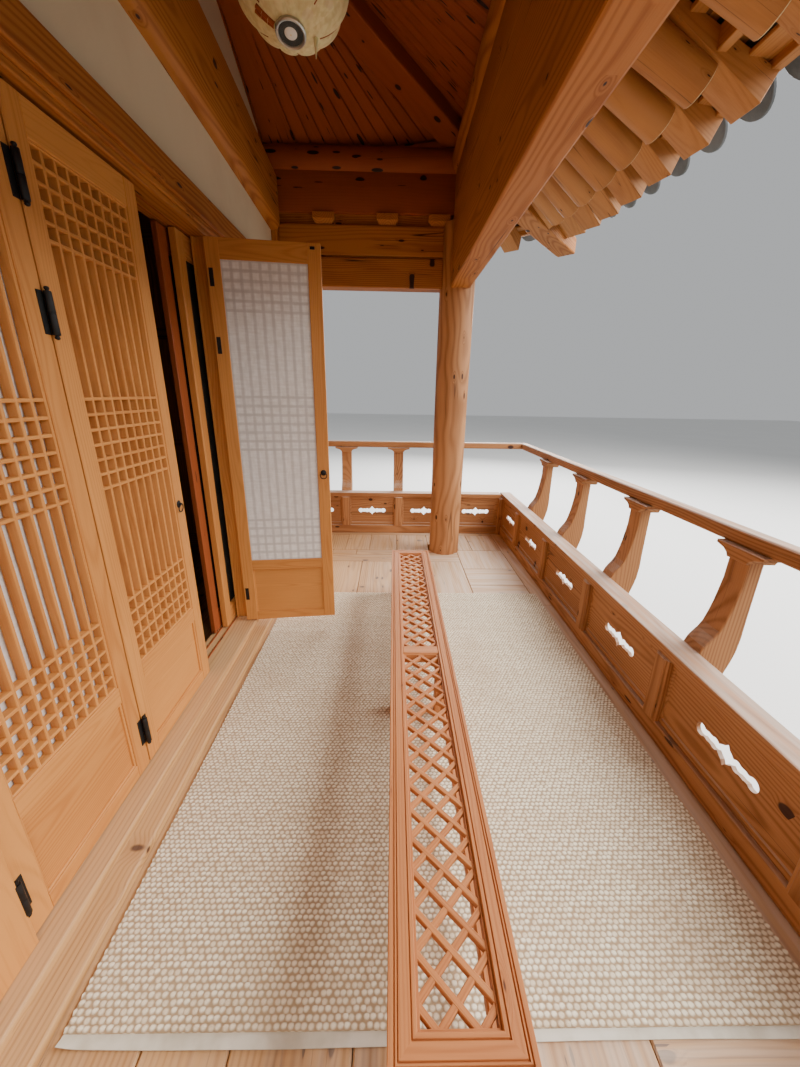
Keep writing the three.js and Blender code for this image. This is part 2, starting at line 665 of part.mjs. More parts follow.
// Ridges of stacked tiles along the top, down the verges and out along the hips
const tileRoom = unite([-0.5, 0, 0.5].map((x) => tiles.translate([x, 0, 1])));
const ridgeBase = tileHeight(0, eaveY);
const ridgeHalf = 110;
const ridgeTall = 340;
const ridgeEnd = vergeHalf - 5;
const ridgeStations = Array.from({ length: 9 }, (_, i) => -ridgeEnd + (2 * ridgeEnd * i) / 8);
const ridgeRise = (x) => ridgeBase + ridgeTall + 90 * (Math.abs(x) / vergeHalf) ** 3;
add('ridge_main', 'tile', prismY([
  [-ridgeEnd, ridgeBase - 120], [ridgeEnd, ridgeBase - 120],
  ...ridgeStations.slice().reverse().map((x) => [x, ridgeRise(x)]),
], -ridgeHalf, ridgeHalf).subtract(tileRoom));

// Wall of upright prisms along a plan line, following the roof
function ridgeRun(points, half, under, above) {
  const parts = [];
  for (let i = 0; i < points.length - 1; i += 1) {
    const [a, b] = [points[i], points[i + 1]];
    const run = Math.hypot(b[0] - a[0], b[1] - a[1]);
    const piece = prismY([
      [-half * 0.5, a[2] - under], [run + half * 0.5, b[2] - under],
      [run + half * 0.5, b[2] + above], [-half * 0.5, a[2] + above],
    ], -half, half);
    const angle = THREE.MathUtils.radToDeg(Math.atan2(b[1] - a[1], b[0] - a[0]));
    parts.push(piece.rotate([0, 0, angle]).translate([a[0], a[1], 0]));
  }
  return unite(parts);
}

function cornerRidge(corner) {
  const vergeX = vergeHalf - 95;
  const verge = [2880, 2450, 2050, eaveX - vergeX].map((d) => [vergeX, -(eaveY - d), tileHeight(0, d)]);
  const hip = [eaveX - vergeX, 1200, 700, 250].map((d) => {
    const [x, y] = planPoint(sides.front, 1, d, 0);
    return [x, y, tileHeight(1, d)];
  });
  let ridge = ridgeRun(verge, 90, 110, 210).add(ridgeRun(hip, 90, 110, 200));
  if (corner.endsWith('left')) ridge = ridge.mirror([1, 0, 0]);
  if (corner.startsWith('back')) ridge = ridge.mirror([0, 1, 0]);
  return ridge.subtract(tileRoom);
}
for (const corner of corners) {
  add(`ridge_${corner}`, 'tile', cornerRidge(corner));
}

// Gables: a plank wall, purlin stubs and the bargeboards under the verge
function gable() {
  const foot = tileHeight(0, eaveX - gableHalf) + 2;
  const under = (y) => tileHeight(0, eaveY - Math.abs(y)) - tileThick - 2;
  const reach = (limit) => {
    let y = 0;
    while (under(y) > limit) y += 5;
    return y - 5;
  };
  const wide = reach(foot);
  const steps = Array.from({ length: 9 }, (_, i) => -wide + (2 * wide * i) / 8);
  const wall = prismX([[-wide, foot], [wide, foot],
    ...steps.slice().reverse().map((y) => [y, Math.max(foot + 1, under(y))])], gableHalf + 1, gableHalf + 41);
  const boardX = vergeHalf - 90;
  const low = reach(foot - 40);
  const boardSteps = Array.from({ length: 9 }, (_, i) => -low + (2 * low * i) / 8);
  const board = prismX([
    ...boardSteps.map((y) => [y, Math.max(foot - 60, under(y) - 200)]),
    ...boardSteps.slice().reverse().map((y) => [y, under(y)]),
  ], boardX, boardX + 45);
  const stubs = [0, -430, 430].map((y) => log(
    [gableHalf + 20, y, under(y) - 100], [boardX + 20, y, under(y) - 100], 75, 10));
  return unite([wall, board, ...stubs]).subtract(tileRoom);
}
add('gable_right', 'pine', gable());
add('gable_left', 'pine', gable().mirror([1, 0, 0]));

// Railing: plank panels with cut-outs, a cap, curved brackets and a handrail held outside
const cutHalf = 135;
const cutTall = 36;
const cutOutline = Array.from({ length: 8 }, (_, i) => {
  const angle = (i / 8) * Math.PI * 2;
  return [cutHalf * Math.cos(angle), cutTall * Math.sin(angle) * (0.75 + 0.25 * Math.cos(2 * angle))];
});
const bracketThick = 98;
const bracketOutline = [
  [panelThick - 5, 80], [95, 105], [160, 190], [207, 300], [234, 385], [243, 456], [240, 560], [240, 800],
  [182, 800], [181, 700], [168, 600], [148, 510], [118, 462], [94, 412], [panelThick - 5, 395],
];

// One straight run: local x along the rail, local y outwards, starting at the rail's inner plane
function railRun(start, end, over, dividers, brackets, cuts, handStart, handEnd) {
  const handLow = handrailOut - handrailHalf;
  const handHigh = handrailOut + handrailHalf;
  const parts = [
    block(start, end, 10, panelThick, floorTop + gap, capTop - 20),
    block(start - over, end + over, -6, panelThick + capOver, capTop - 42, capTop),
    block(start, end, -8, panelThick + 8, floorTop + gap, floorTop + 78),
    block(handStart, handEnd, handLow, handHigh, handrailTop - 58, handrailTop),
  ];
  for (const x of dividers) {
    parts.push(block(x - 42, x + 42, -10, panelThick + 8, floorTop + gap, capTop - 10));
  }
  for (const x of brackets) {
    const outline = bracketOutline.map(([y, z]) => [y, floorTop + z]);
    parts.push(prismX(outline, x - bracketThick / 2, x + bracketThick / 2));
    parts.push(block(x - 110, x + 110, handrailOut - 56, handrailOut + 56, handrailTop - 104, handrailTop - 50));
  }
  const holes = cuts.map((x) => prismY(
    cutOutline.map(([u, v]) => [x + u, floorTop + 228 + v]), -50, panelThick + 50));
  return unite(parts).subtract(unite(holes));
}

function frontRailing() {
  const count = 3;
  const dividers = [];
  for (let i = -count; i <= count; i += 1) dividers.push(i * frontPitch);
  const posts = [...dividers, -railEnd - 10, railEnd + 10];
  const bays = [];
  for (let i = -count; i < count; i += 1) bays.push((i + 0.5) * frontPitch);
  bays.push(-(count * frontPitch + railEnd) / 2, (count * frontPitch + railEnd) / 2);
  const handHalf = railEnd + handrailOut - handrailHalf - gap;
  const half = railEnd + panelThick;
  const run = railRun(-half, half, capOver, posts, dividers, bays, -handHalf, handHalf);
  return run.mirror([0, 1, 0]).translate([0, railInner, 0]);
}
add('railing_front', 'weathered', frontRailing());

// End runs go from the front corner back past the door wall, then return to the house
function endRailing(sign) {
  const length = railBack - railInner;
  const dividers = [1, 2, 3].map((i) => i * endPitch);
  const cuts = [0, 1, 2, 3].map((i) => (i + 0.5) * endPitch);
  const start = 12;
  const run = railRun(start, length, 0, [...dividers, length - 42], [...dividers, length - 110],
    cuts, -handrailOut - handrailHalf, length);
  const houseSide = bayHalf + postHalf + gap;
  const back = block(houseSide, railEnd + 20, railBack - panelThick, railBack, floorTop + gap, capTop - 20)
    .add(block(houseSide, railEnd + 20, railBack - panelThick - 22, railBack, capTop - 42, capTop));
  const end = run.mirror([1, -1, 0]).translate([railEnd, railInner, 0]).add(back);
  return sign > 0 ? end : end.mirror([1, 0, 0]);
}
add('railing_right', 'weathered', endRailing(1));
add('railing_left', 'weathered', endRailing(-1));

// Long low bench, with thin panels standing for its lattice top
const benchY = [-1650, -1400];
const benchX = [-1057, 1253];
const benchTop = floorTop + 330;
function bench() {
  const middle = (benchX[0] + benchX[1]) / 2;
  let top = block(...benchX, ...benchY, benchTop - 60, benchTop);
  for (const [x0, x1] of [[benchX[0] + 60, middle - 25], [middle + 25, benchX[1] - 60]]) {
    top = top.subtract(block(x0, x1, benchY[0] + 50, benchY[1] - 50, benchTop - 8, benchTop + 1));
    top = top.subtract(block(x0, x1, benchY[0] + 50, benchY[1] - 50, benchTop - 61, benchTop - 24));
  }
  const parts = [top];
  for (const x of [benchX[0] + 30, middle, benchX[1] - 30]) {
    for (const y of [benchY[0] + 30, benchY[1] - 30]) {
      parts.push(block(x - 28, x + 28, y - 28, y + 28, floorTop + rugThick + 2 * gap, benchTop - 30));
    }
  }
  return unite(parts);
}
const rugThick = 12;
add('rug', 'jute', block(-917, 1253, -2426, -690, floorTop + gap, floorTop + gap + rugThick));
add('bench', 'pine', bench());

// Fabric lantern on a stem from the ceiling boards
const lampAt = [363, -1070];
const lampLow = floorTop + 2450;
const lampRadius = 168;
const lampTall = 290;
function lamp() {
  const profile = Array.from({ length: 9 }, (_, i) => {
    const angle = (i / 8) * Math.PI;
    return new THREE.Vector2(i % 8 ? lampRadius * Math.sin(angle) ** 0.75 : 0, -Math.cos(angle) * lampTall / 2);
  });
  const globe = new THREE.LatheGeometry(profile, 14).rotateX(Math.PI / 2);
  const body = toSolid(globe.translate(...lampAt, lampLow + lampTall / 2));
  const ceiling = deckHeight(0, eaveY + lampAt[1]) - 5 * rafterSlope - gap;
  const stem = upright(...lampAt, 5, lampLow + lampTall - 30, ceiling, 8);
  return unite([body, stem, upright(...lampAt, 42, ceiling - 50, ceiling - 16, 16)]);
}
add('lamp', 'lantern', lamp());

export default house;
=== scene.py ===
# Timber house with a railed veranda, seen from a seat on its own veranda floor
import math
import random
import bpy
import numpy as np
from mathutils import Matrix, Vector


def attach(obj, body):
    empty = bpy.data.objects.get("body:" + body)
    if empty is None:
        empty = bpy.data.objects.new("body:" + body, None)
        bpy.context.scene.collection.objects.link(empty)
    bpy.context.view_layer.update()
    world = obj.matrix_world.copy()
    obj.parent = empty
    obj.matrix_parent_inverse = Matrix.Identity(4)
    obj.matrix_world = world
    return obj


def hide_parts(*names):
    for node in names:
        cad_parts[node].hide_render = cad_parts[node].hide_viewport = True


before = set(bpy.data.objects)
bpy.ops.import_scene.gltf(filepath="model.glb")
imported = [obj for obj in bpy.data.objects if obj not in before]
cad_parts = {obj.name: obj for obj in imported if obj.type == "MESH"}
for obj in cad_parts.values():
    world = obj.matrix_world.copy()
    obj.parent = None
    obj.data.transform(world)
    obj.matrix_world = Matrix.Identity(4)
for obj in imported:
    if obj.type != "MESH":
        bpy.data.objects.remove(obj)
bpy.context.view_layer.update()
chance = random.Random(11)
print("frame loaded")


# Camera at eye height over the rug, a wide lens turned a little down
camera = {"place": (-1.397, -1.400, 1.950), "lens": 13.98, "down": 18.74, "right": 1.167, "roll": 0.966}


def addCamera():
    down, right, roll = (math.radians(camera[key]) for key in ("down", "right", "roll"))
    ahead = Vector((math.cos(right) * math.cos(down), -math.sin(right) * math.cos(down), -math.sin(down)))
    side = Vector((-math.sin(right), -math.cos(right), 0))
    up = side.cross(ahead)
    side, up = side * math.cos(roll) + up * math.sin(roll), up * math.cos(roll) - side * math.sin(roll)
    bpy.ops.object.camera_add()
    eye = bpy.context.object
    eye.matrix_world = Matrix((side, up, -ahead)).transposed().to_4x4()
    eye.location = camera["place"]
    eye.data.lens = camera["lens"]
    eye.data.clip_start = 0.02
    bpy.context.scene.camera = eye


addCamera()

# Soft studio light, brightest from the garden side, and a pale floor
studio = {"floorSize": 80, "sky": (0.96, 0.98, 1.0), "skyPower": 0.5,
          "key": {"place": (1.0, -9.5, 8.5), "size": 9.0, "power": 3600, "colour": (1.0, 0.98, 0.95)},
          "fill": {"place": (9.5, -4.0, 5.5), "size": 5.0, "power": 1300, "colour": (1.0, 0.99, 0.98)},
          "near": {"place": (-8.0, -4.5, 5.4), "size": 5.0, "power": 700, "colour": (1.0, 0.98, 0.95)},
          "rear": {"place": (-6.0, 9.0, 9.0), "size": 7.0, "power": 900, "colour": (1.0, 1.0, 1.0)}}


def addStudio():
    sky = bpy.data.worlds.new("studioSky")
    sky.use_nodes = True
    bpy.context.scene.world = sky
    background = sky.node_tree.nodes["Background"]
    background.inputs["Color"].default_value = (*studio["sky"], 1)
    background.inputs["Strength"].default_value = studio["skyPower"]
    for name in ("key", "fill", "near", "rear"):
        plan = studio[name]
        bpy.ops.object.light_add(type="AREA", location=plan["place"])
        lamp = bpy.context.object
        lamp.name = name + "Light"
        lamp.data.size = plan["size"]
        lamp.data.energy = plan["power"]
        lamp.data.color = plan["colour"]
        lamp.visible_camera = False
        aim = Vector((0, -0.9, 0.8)) - lamp.location
        lamp.rotation_euler = aim.to_track_quat("-Z", "Y").to_euler()


addStudio()
print("camera and light ready")


# Small helpers for node trees; they add to the tree that was started last
current = {}


def wire(source, target):
    current["tree"].links.new(source, target)


def put(kind, inputs=None, **settings):
    node = current["tree"].nodes.new(kind)
    for key, value in settings.items():
        setattr(node, key, value)
    for key, value in (inputs or {}).items():
        if isinstance(value, bpy.types.NodeSocket):
            wire(value, node.inputs[key])
        else:
            # colours are given without their alpha
            isColour = node.inputs[key].type == "RGBA"
            node.inputs[key].default_value = (*value, 1.0) if isColour else value
    return node


def calc(operation, *values):
    return put("ShaderNodeMath", dict(enumerate(values)), operation=operation).outputs[0]


def times(first, second):
    return calc("MULTIPLY", first, second)


def plus(first, second):
    return calc("ADD", first, second)


def minus(first, second):
    return calc("SUBTRACT", first, second)


# first times second, plus third
def fused(first, second, third):
    return calc("MULTIPLY_ADD", first, second, third)


def vectorCalc(operation, *values):
    return put("ShaderNodeVectorMath", dict(enumerate(values)), operation=operation).outputs[0]


def rampUp(value, low, high, toLow=0.0, toHigh=1.0):
    return put("ShaderNodeMapRange", {0: value, 1: low, 2: high, 3: toLow, 4: toHigh},
               interpolation_type="SMOOTHSTEP").outputs[0]


def blendColour(amount, first, second):
    return put("ShaderNodeMix", {0: amount, 6: first, 7: second}, data_type="RGBA").outputs[2]


def noise(vector, sizes, detail=2.0, output=0):
    spread = vectorCalc("MULTIPLY", vector, sizes)
    return put("ShaderNodeTexNoise", {"Vector": spread, "Scale": 1.0, "Detail": detail}).outputs[output]


def split(vector):
    return put("ShaderNodeSeparateXYZ", {0: vector}).outputs


def splitColour(colour):
    return put("ShaderNodeSeparateColor", {0: colour}).outputs


def joined(first, second):
    return put("ShaderNodeCombineXYZ", {0: first, 1: second}).outputs[0]


def objectPlace():
    return put("ShaderNodeTexCoord").outputs["Object"]


def attribute(name):
    return put("ShaderNodeAttribute", attribute_name=name).outputs


def useGroup(group, inputs):
    return put("ShaderNodeGroup", inputs, node_tree=group).outputs


# Inputs are given as name and default value, outputs as name and kind
def newGroup(name, inputs, outputs):
    group = bpy.data.node_groups.new(name, "ShaderNodeTree")
    current["tree"] = group
    kinds = {float: "Float", tuple: "Color", type(None): "Vector"}
    for label, value in inputs.items():
        kind = "NodeSocket" + kinds[type(value)]
        socket = group.interface.new_socket(label, in_out="INPUT", socket_type=kind)
        if value is not None:
            socket.default_value = value
    for label, kind in outputs.items():
        group.interface.new_socket(label, in_out="OUTPUT", socket_type="NodeSocket" + kind)
    return group, group.nodes.new("NodeGroupInput").outputs, group.nodes.new("NodeGroupOutput").inputs


# Values are the shader's inputs that stay even
def startMaterial(name, values=None):
    material = bpy.data.materials.new(name)
    material.use_nodes = True
    current["tree"] = material.node_tree
    shader = material.node_tree.nodes["Principled BSDF"].inputs
    for key, value in (values or {}).items():
        shader[key].default_value = value
    return material, shader


def addBump(shader, height, strength, distance):
    bump = put("ShaderNodeBump", {"Height": height, "Strength": strength, "Distance": distance})
    wire(bump.outputs[0], shader["Normal"])


# Wood: rings round a pith line that runs along x, knots, fine fibre and long drying cracks
def makeGrainGroup():
    group, given, result = newGroup("timberGrain", {
        "Vector": None, "Tone": 0.0, "Light": (0.6, 0.35, 0.15, 1), "Dark": (0.35, 0.15, 0.05, 1),
        "Knot": (0.08, 0.025, 0.01, 1), "Rings": 90.0, "Figure": 0.6, "Knots": 0.4, "Cracks": 0.3},
        {"Color": "Color", "Roughness": "Float", "Height": "Float"})
    place = given["Vector"]
    # a knot runs out from the pith, so it shows on every face it meets
    plain = split(place)
    around = joined(times(plain[0], 7.0), times(calc("ARCTAN2", plain[1], plain[2]), 2.2))
    cells = put("ShaderNodeTexVoronoi", {"Vector": around, "Scale": 1.0}, voronoi_dimensions="2D")
    away = cells.outputs["Distance"]
    chosen = splitColour(cells.outputs["Color"])[0]
    present = calc("LESS_THAN", chosen, times(given["Knots"], 0.28))
    size = fused(chosen, 1.1, 0.06)
    knotCore = times(present, rampUp(minus(away, size), -0.045, 0.012, 1.0, 0.0))
    knotRound = times(present, rampUp(away, 0.05, 0.4, 1.0, 0.0))
    drift = vectorCalc("SUBTRACT", noise(place, (0.9, 2.2, 2.2), 2.0, 1), (0.5, 0.5, 0.5))
    axes = split(vectorCalc("MULTIPLY_ADD", drift, (0.0, 0.09, 0.09), place))
    across = plus(axes[1], times(knotRound, 0.022))
    radius = calc("SQRT", plus(times(across, across), times(axes[2], axes[2])))
    wave = calc("SINE", times(times(radius, given["Rings"]), 6.2832))
    ring = calc("POWER", fused(wave, 0.5, 0.5), 2.0)
    fibre = noise(place, (7, 260, 260), 1.0)
    blotch = noise(place, (1.6, 5, 5), 2.0)
    share = plus(times(ring, given["Figure"]), fused(fibre, 0.5, -0.22))
    share = plus(share, fused(blotch, 0.8, -0.36))
    share = fused(given["Tone"], -0.22, share)
    clamped = calc("MINIMUM", calc("MAXIMUM", share, 0.0), 1.0)
    colour = blendColour(clamped, given["Light"], given["Dark"])
    colour = blendColour(times(knotRound, 0.35), colour, given["Dark"])
    colour = blendColour(knotCore, colour, given["Knot"])
    line = calc("ABSOLUTE", minus(noise(place, (0.35, 13, 13), 1.0), 0.5))
    where = rampUp(blotch, 0.49, 0.6)
    crack = times(times(rampUp(line, 0.001, 0.009, 1.0, 0.0), where), given["Cracks"])
    wire(blendColour(crack, colour, given["Knot"]), result["Color"])
    wire(fused(share, 0.14, 0.56), result["Roughness"])
    wire(fused(crack, -1.0, fused(ring, -0.12, times(fibre, 0.15))), result["Height"])
    return group


# Paler upper faces: sun-bleaching, and on the veranda floor also a painted sheen of the sky
def makeBleachAndSheenGroup():
    group, given, result = newGroup("bleachAndSheenTop", {
        "Color": (0.5, 0.3, 0.15, 1), "BleachAndSheen": (0.5, 0.45, 0.4, 1), "Amount": 0.5, "Vector": None},
        {"Color": "Color"})
    upward = rampUp(split(put("ShaderNodeNewGeometry").outputs["Normal"])[2], 0.2, 0.9)
    patch = rampUp(noise(given["Vector"], (2, 34, 34), 3.0), 0.3, 0.66, 0.35, 1.0)
    amount = times(times(upward, patch), given["Amount"])
    wire(blendColour(amount, given["Color"], given["BleachAndSheen"]), result["Color"])
    return group


# Fine grey dirt that gathers in patches, for masonry, plaster and tiles
def makeDirtGroup():
    group, given, result = newGroup("patchyDirt", {
        "Color": (0.7, 0.7, 0.7, 1), "Dirt": (0.2, 0.18, 0.15, 1), "Amount": 0.3, "Size": 2.0,
        "Vector": None}, {"Color": "Color"})
    spread = put("ShaderNodeVectorMath", {0: given["Vector"], "Scale": given["Size"]}, operation="SCALE")
    cloud = put("ShaderNodeTexNoise", {"Vector": spread.outputs[0], "Scale": 1.0, "Detail": 4.0,
                                       "Roughness": 0.65}).outputs[0]
    mask = times(rampUp(cloud, 0.42, 0.75), given["Amount"])
    wire(blendColour(mask, given["Color"], given["Dirt"]), result["Color"])
    return group


grainGroup, bleachAndSheenGroup, dirtGroup = makeGrainGroup(), makeBleachAndSheenGroup(), makeDirtGroup()

# Each wood: light and dark colour, knot colour, rings a metre, then how much figure, knots and cracks
woods = {"doorPine": {"light": (0.61, 0.262, 0.066), "dark": (0.42, 0.145, 0.028),
                      "knot": (0.13, 0.045, 0.015), "rings": 150, "figure": 0.34, "knots": 0.0,
                      "cracks": 0.0}, "beamPine": {"light": (0.45, 0.168, 0.032),
                                                   "dark": (0.25, 0.070, 0.013), "knot":
                                                   (0.03, 0.010, 0.005), "rings": 80, "figure": 0.6,
                                                   "knots": 0.45, "cracks": 0.95}, "ceilingPine":
         {"light": (0.31, 0.072, 0.017), "dark": (0.20, 0.042, 0.010), "knot": (0.015, 0.005, 0.003),
          "rings": 60, "figure": 0.22, "knots": 0.8, "cracks": 0.3},
         "eavePine": {"light": (0.50, 0.215, 0.060), "dark": (0.32, 0.115, 0.027),
                      "knot": (0.05, 0.018, 0.008), "rings": 70, "figure": 0.32, "knots": 0.2,
                      # floorPine's pale colour and its amount stand partly for sun-bleaching and partly for
                      # a painted sheen of the sky
                      "cracks": 0.8}, "floorPine": {"light": (0.56, 0.31, 0.125),
                                                    "dark": (0.35, 0.160, 0.052), "knot":
                                                    (0.09, 0.035, 0.015), "rings": 75, "figure": 0.6,
                                                    "knots": 0.45, "cracks": 0.4, "bleachAndSheenColour":
                                                    (0.70, 0.58, 0.47), "bleachAndSheenAmount": 0.6, "sheltered": True},
         "railPine": {"light": (0.47, 0.218, 0.086), "dark": (0.26, 0.102, 0.034),
                      "knot": (0.05, 0.015, 0.007), "rings": 85, "figure": 0.65, "knots": 0.55,
                      "cracks": 0.6, "bleachAndSheenColour": (0.52, 0.42, 0.35), "bleachAndSheenAmount": 0.75},
         "benchPine": {"light": (0.52, 0.195, 0.060), "dark": (0.34, 0.100, 0.027),
                       "knot": (0.1, 0.03, 0.012), "rings": 140, "figure": 0.4, "knots": 0.08,
                       "cracks": 0.0}, "endGrain": {"light": (0.70, 0.50, 0.25), "dark": (0.48, 0.29, 0.11),
                                                    "knot": (0.25, 0.11, 0.04), "rings": 120,
                                                    "figure": 0.55, "knots": 0.0, "cracks": 0.7},}


def makeWood(name):
    plan = woods[name]
    material, shader = startMaterial(name, {"Specular IOR Level": 0.3})
    place = attribute("grain")["Vector"]
    wood = useGroup(grainGroup, {"Vector": place, "Tone": attribute("tone")["Fac"],
                                 **{key.capitalize(): plan[key] for key in ("light", "dark", "knot",
            "rings", "figure", "knots", "cracks")}})
    colour = wood["Color"]
    if "bleachAndSheenColour" in plan:
        amount = plan["bleachAndSheenAmount"]
        if "sheltered" in plan:
            # the floor's paleness, part sun-bleaching and part painted sheen of the sky, fades towards the
            # door wall, where the boards keep most of their own colour
            amount = rampUp(split(objectPlace())[1], -1.9, -0.8, amount, 0.12)
        colour = useGroup(bleachAndSheenGroup, {"Color": colour, "BleachAndSheen": plan["bleachAndSheenColour"], "Amount": amount,
                                        "Vector": place})["Color"]
    wire(colour, shader["Base Color"])
    wire(wood["Roughness"], shader["Roughness"])
    addBump(shader, wood["Height"], 0.5, 0.0015)
    return material


def wireDirtied(shader, colour, dirt, amount, size, place):
    dirtied = useGroup(dirtGroup, {"Color": colour, "Dirt": dirt, "Amount": amount, "Size": size,
                                   "Vector": place})
    wire(dirtied["Color"], shader["Base Color"])


def makePlaster():
    material, shader = startMaterial("plaster")
    place = objectPlace()
    wireDirtied(shader, (0.67, 0.56, 0.37), (0.50, 0.37, 0.22), 0.35, 1.6, place)
    trowel = noise(place, (9, 9, 9), 5.0)
    wire(rampUp(trowel, 0.3, 0.7, 0.8, 0.95), shader["Roughness"])
    addBump(shader, plus(trowel, noise(place, (160, 160, 160), 2.0)), 0.3, 0.002)
    return material


def makeGranite():
    material, shader = startMaterial("granite")
    place = attribute("grain")["Vector"]
    specks = put("ShaderNodeTexVoronoi", {"Vector": place, "Scale": 190.0})
    value = splitColour(specks.outputs["Color"])[0]
    colour = blendColour(value, (0.50, 0.485, 0.46), (0.30, 0.29, 0.28))
    colour = blendColour(calc("GREATER_THAN", value, 0.9), colour, (0.07, 0.07, 0.075))
    colour = blendColour(fused(attribute("tone")["Fac"], 0.12, 0.12), colour, (0.33, 0.29, 0.24))
    wireDirtied(shader, colour, (0.17, 0.15, 0.12), 0.5, 3.0, place)
    wire(fused(value, 0.15, 0.72), shader["Roughness"])
    addBump(shader, plus(noise(place, (60, 60, 60), 4.0), times(value, 0.25)), 0.6, 0.004)
    return material


def makeTileClay():
    material, shader = startMaterial("roofClay")
    place, tone = attribute("grain")["Vector"], attribute("tone")["Fac"]
    smokeAndSheen = noise(place, (9, 9, 9), 4.0)
    # lighter silvery mottles: partly the fired clay's own colour, partly a painted sheen
    colour = blendColour(rampUp(smokeAndSheen, 0.3, 0.72), (0.045, 0.050, 0.055), (0.135, 0.145, 0.155))
    colour = blendColour(fused(tone, 0.22, 0.24), colour, (0.20, 0.21, 0.22))
    wireDirtied(shader, colour, (0.16, 0.155, 0.12), 0.35, 5.0, place)
    wire(rampUp(smokeAndSheen, 0.2, 0.8, 0.42, 0.66), shader["Roughness"])
    addBump(shader, noise(place, (130, 130, 130), 3.0), 0.35, 0.0015)
    return material


def makeLimeMortar():
    material, shader = startMaterial("limeMortar", {"Roughness": 0.9})
    place = objectPlace()
    wireDirtied(shader, (0.80, 0.78, 0.74), (0.36, 0.34, 0.30), 0.6, 7.0, place)
    addBump(shader, noise(place, (70, 70, 70), 4.0), 0.6, 0.003)
    return material


# Mulberry paper over the lattice: long fibres, and painted shadows of the bars behind it as soft grey
# lines.
# u and v of the paper's map are metres from the lattice field's lower corner
def makeBarShadowGroup():
    group, given, result = newGroup("paintedBarShadows", {
        "Vector": None, "Pitch": 0.043, "Low rise": 0.043, "Low top": 0.2, "Middle rise": 0.043,
        "Middle low": 0.6, "Middle top": 0.9, "High rise": 0.043, "High low": 1.2}, {"Mask": "Float"})
    axes = split(given["Vector"])

    def lines(value, pitch):
        turn = calc("FRACT", calc("DIVIDE", value, pitch))
        nearest = calc("MINIMUM", turn, minus(1.0, turn))
        return rampUp(times(nearest, pitch), 0.003, 0.0115, 1.0, 0.0)

    def between(low, high):
        above = rampUp(minus(axes[1], low), -0.008, -0.004)
        return times(above, rampUp(minus(axes[1], high), 0.004, 0.008, 1.0, 0.0))

    upright = lines(axes[0], given["Pitch"])
    low = times(lines(axes[1], given["Low rise"]), between(-1.0, given["Low top"]))
    middle = times(lines(minus(axes[1], given["Middle low"]), given["Middle rise"]),
                   between(given["Middle low"], given["Middle top"]))
    high = times(lines(minus(axes[1], given["High low"]), given["High rise"]),
                 between(given["High low"], 9.0))
    level = calc("MAXIMUM", low, calc("MAXIMUM", middle, high))
    wire(fused(times(upright, level), 0.25, calc("MAXIMUM", upright, level)), result["Mask"])
    return group


barShadowGroup = makeBarShadowGroup()


def makePaper(name, bars, shade):
    material, shader = startMaterial(name, {"Roughness": 0.85})
    spread = put("ShaderNodeUVMap", uv_map="sheetPlace").outputs[0]
    thread = times(noise(spread, (60, 22, 1), 3.0), noise(spread, (14, 90, 1), 4.0))
    colour = blendColour(rampUp(thread, 0.12, 0.4), (0.74, 0.72, 0.69), (0.86, 0.85, 0.83))
    if shade:
        mask = useGroup(barShadowGroup, {"Vector": spread, **bars})["Mask"]
        # the bars' shadows on the paper are painted here as grey lines
        colour = blendColour(times(mask, shade), colour, (0.36, 0.33, 0.315))
    wire(colour, shader["Base Color"])
    addBump(shader, thread, 0.25, 0.0008)
    return material


def makeGlass():
    material, shader = startMaterial("darkGlass", {"Transmission Weight": 0.2})
    smear = noise(objectPlace(), (2, 2, 11), 3.0)
    wire(blendColour(smear, (0.020, 0.024, 0.020), (0.055, 0.055, 0.045)), shader["Base Color"])
    wire(rampUp(smear, 0.2, 0.8, 0.06, 0.2), shader["Roughness"])
    return material


def makeIron():
    material, shader = startMaterial("blackIron", {"Metallic": 0.7})
    scale = noise(objectPlace(), (90, 90, 90), 4.0)
    wire(blendColour(scale, (0.012, 0.012, 0.013), (0.035, 0.032, 0.03)), shader["Base Color"])
    wire(rampUp(scale, 0.3, 0.7, 0.38, 0.62), shader["Roughness"])
    addBump(shader, scale, 0.4, 0.0006)
    return material


# Looped jute: one knot a cell, every other row shifted by half a knot
jute = {"pitch": 0.016, "row": 0.0135}


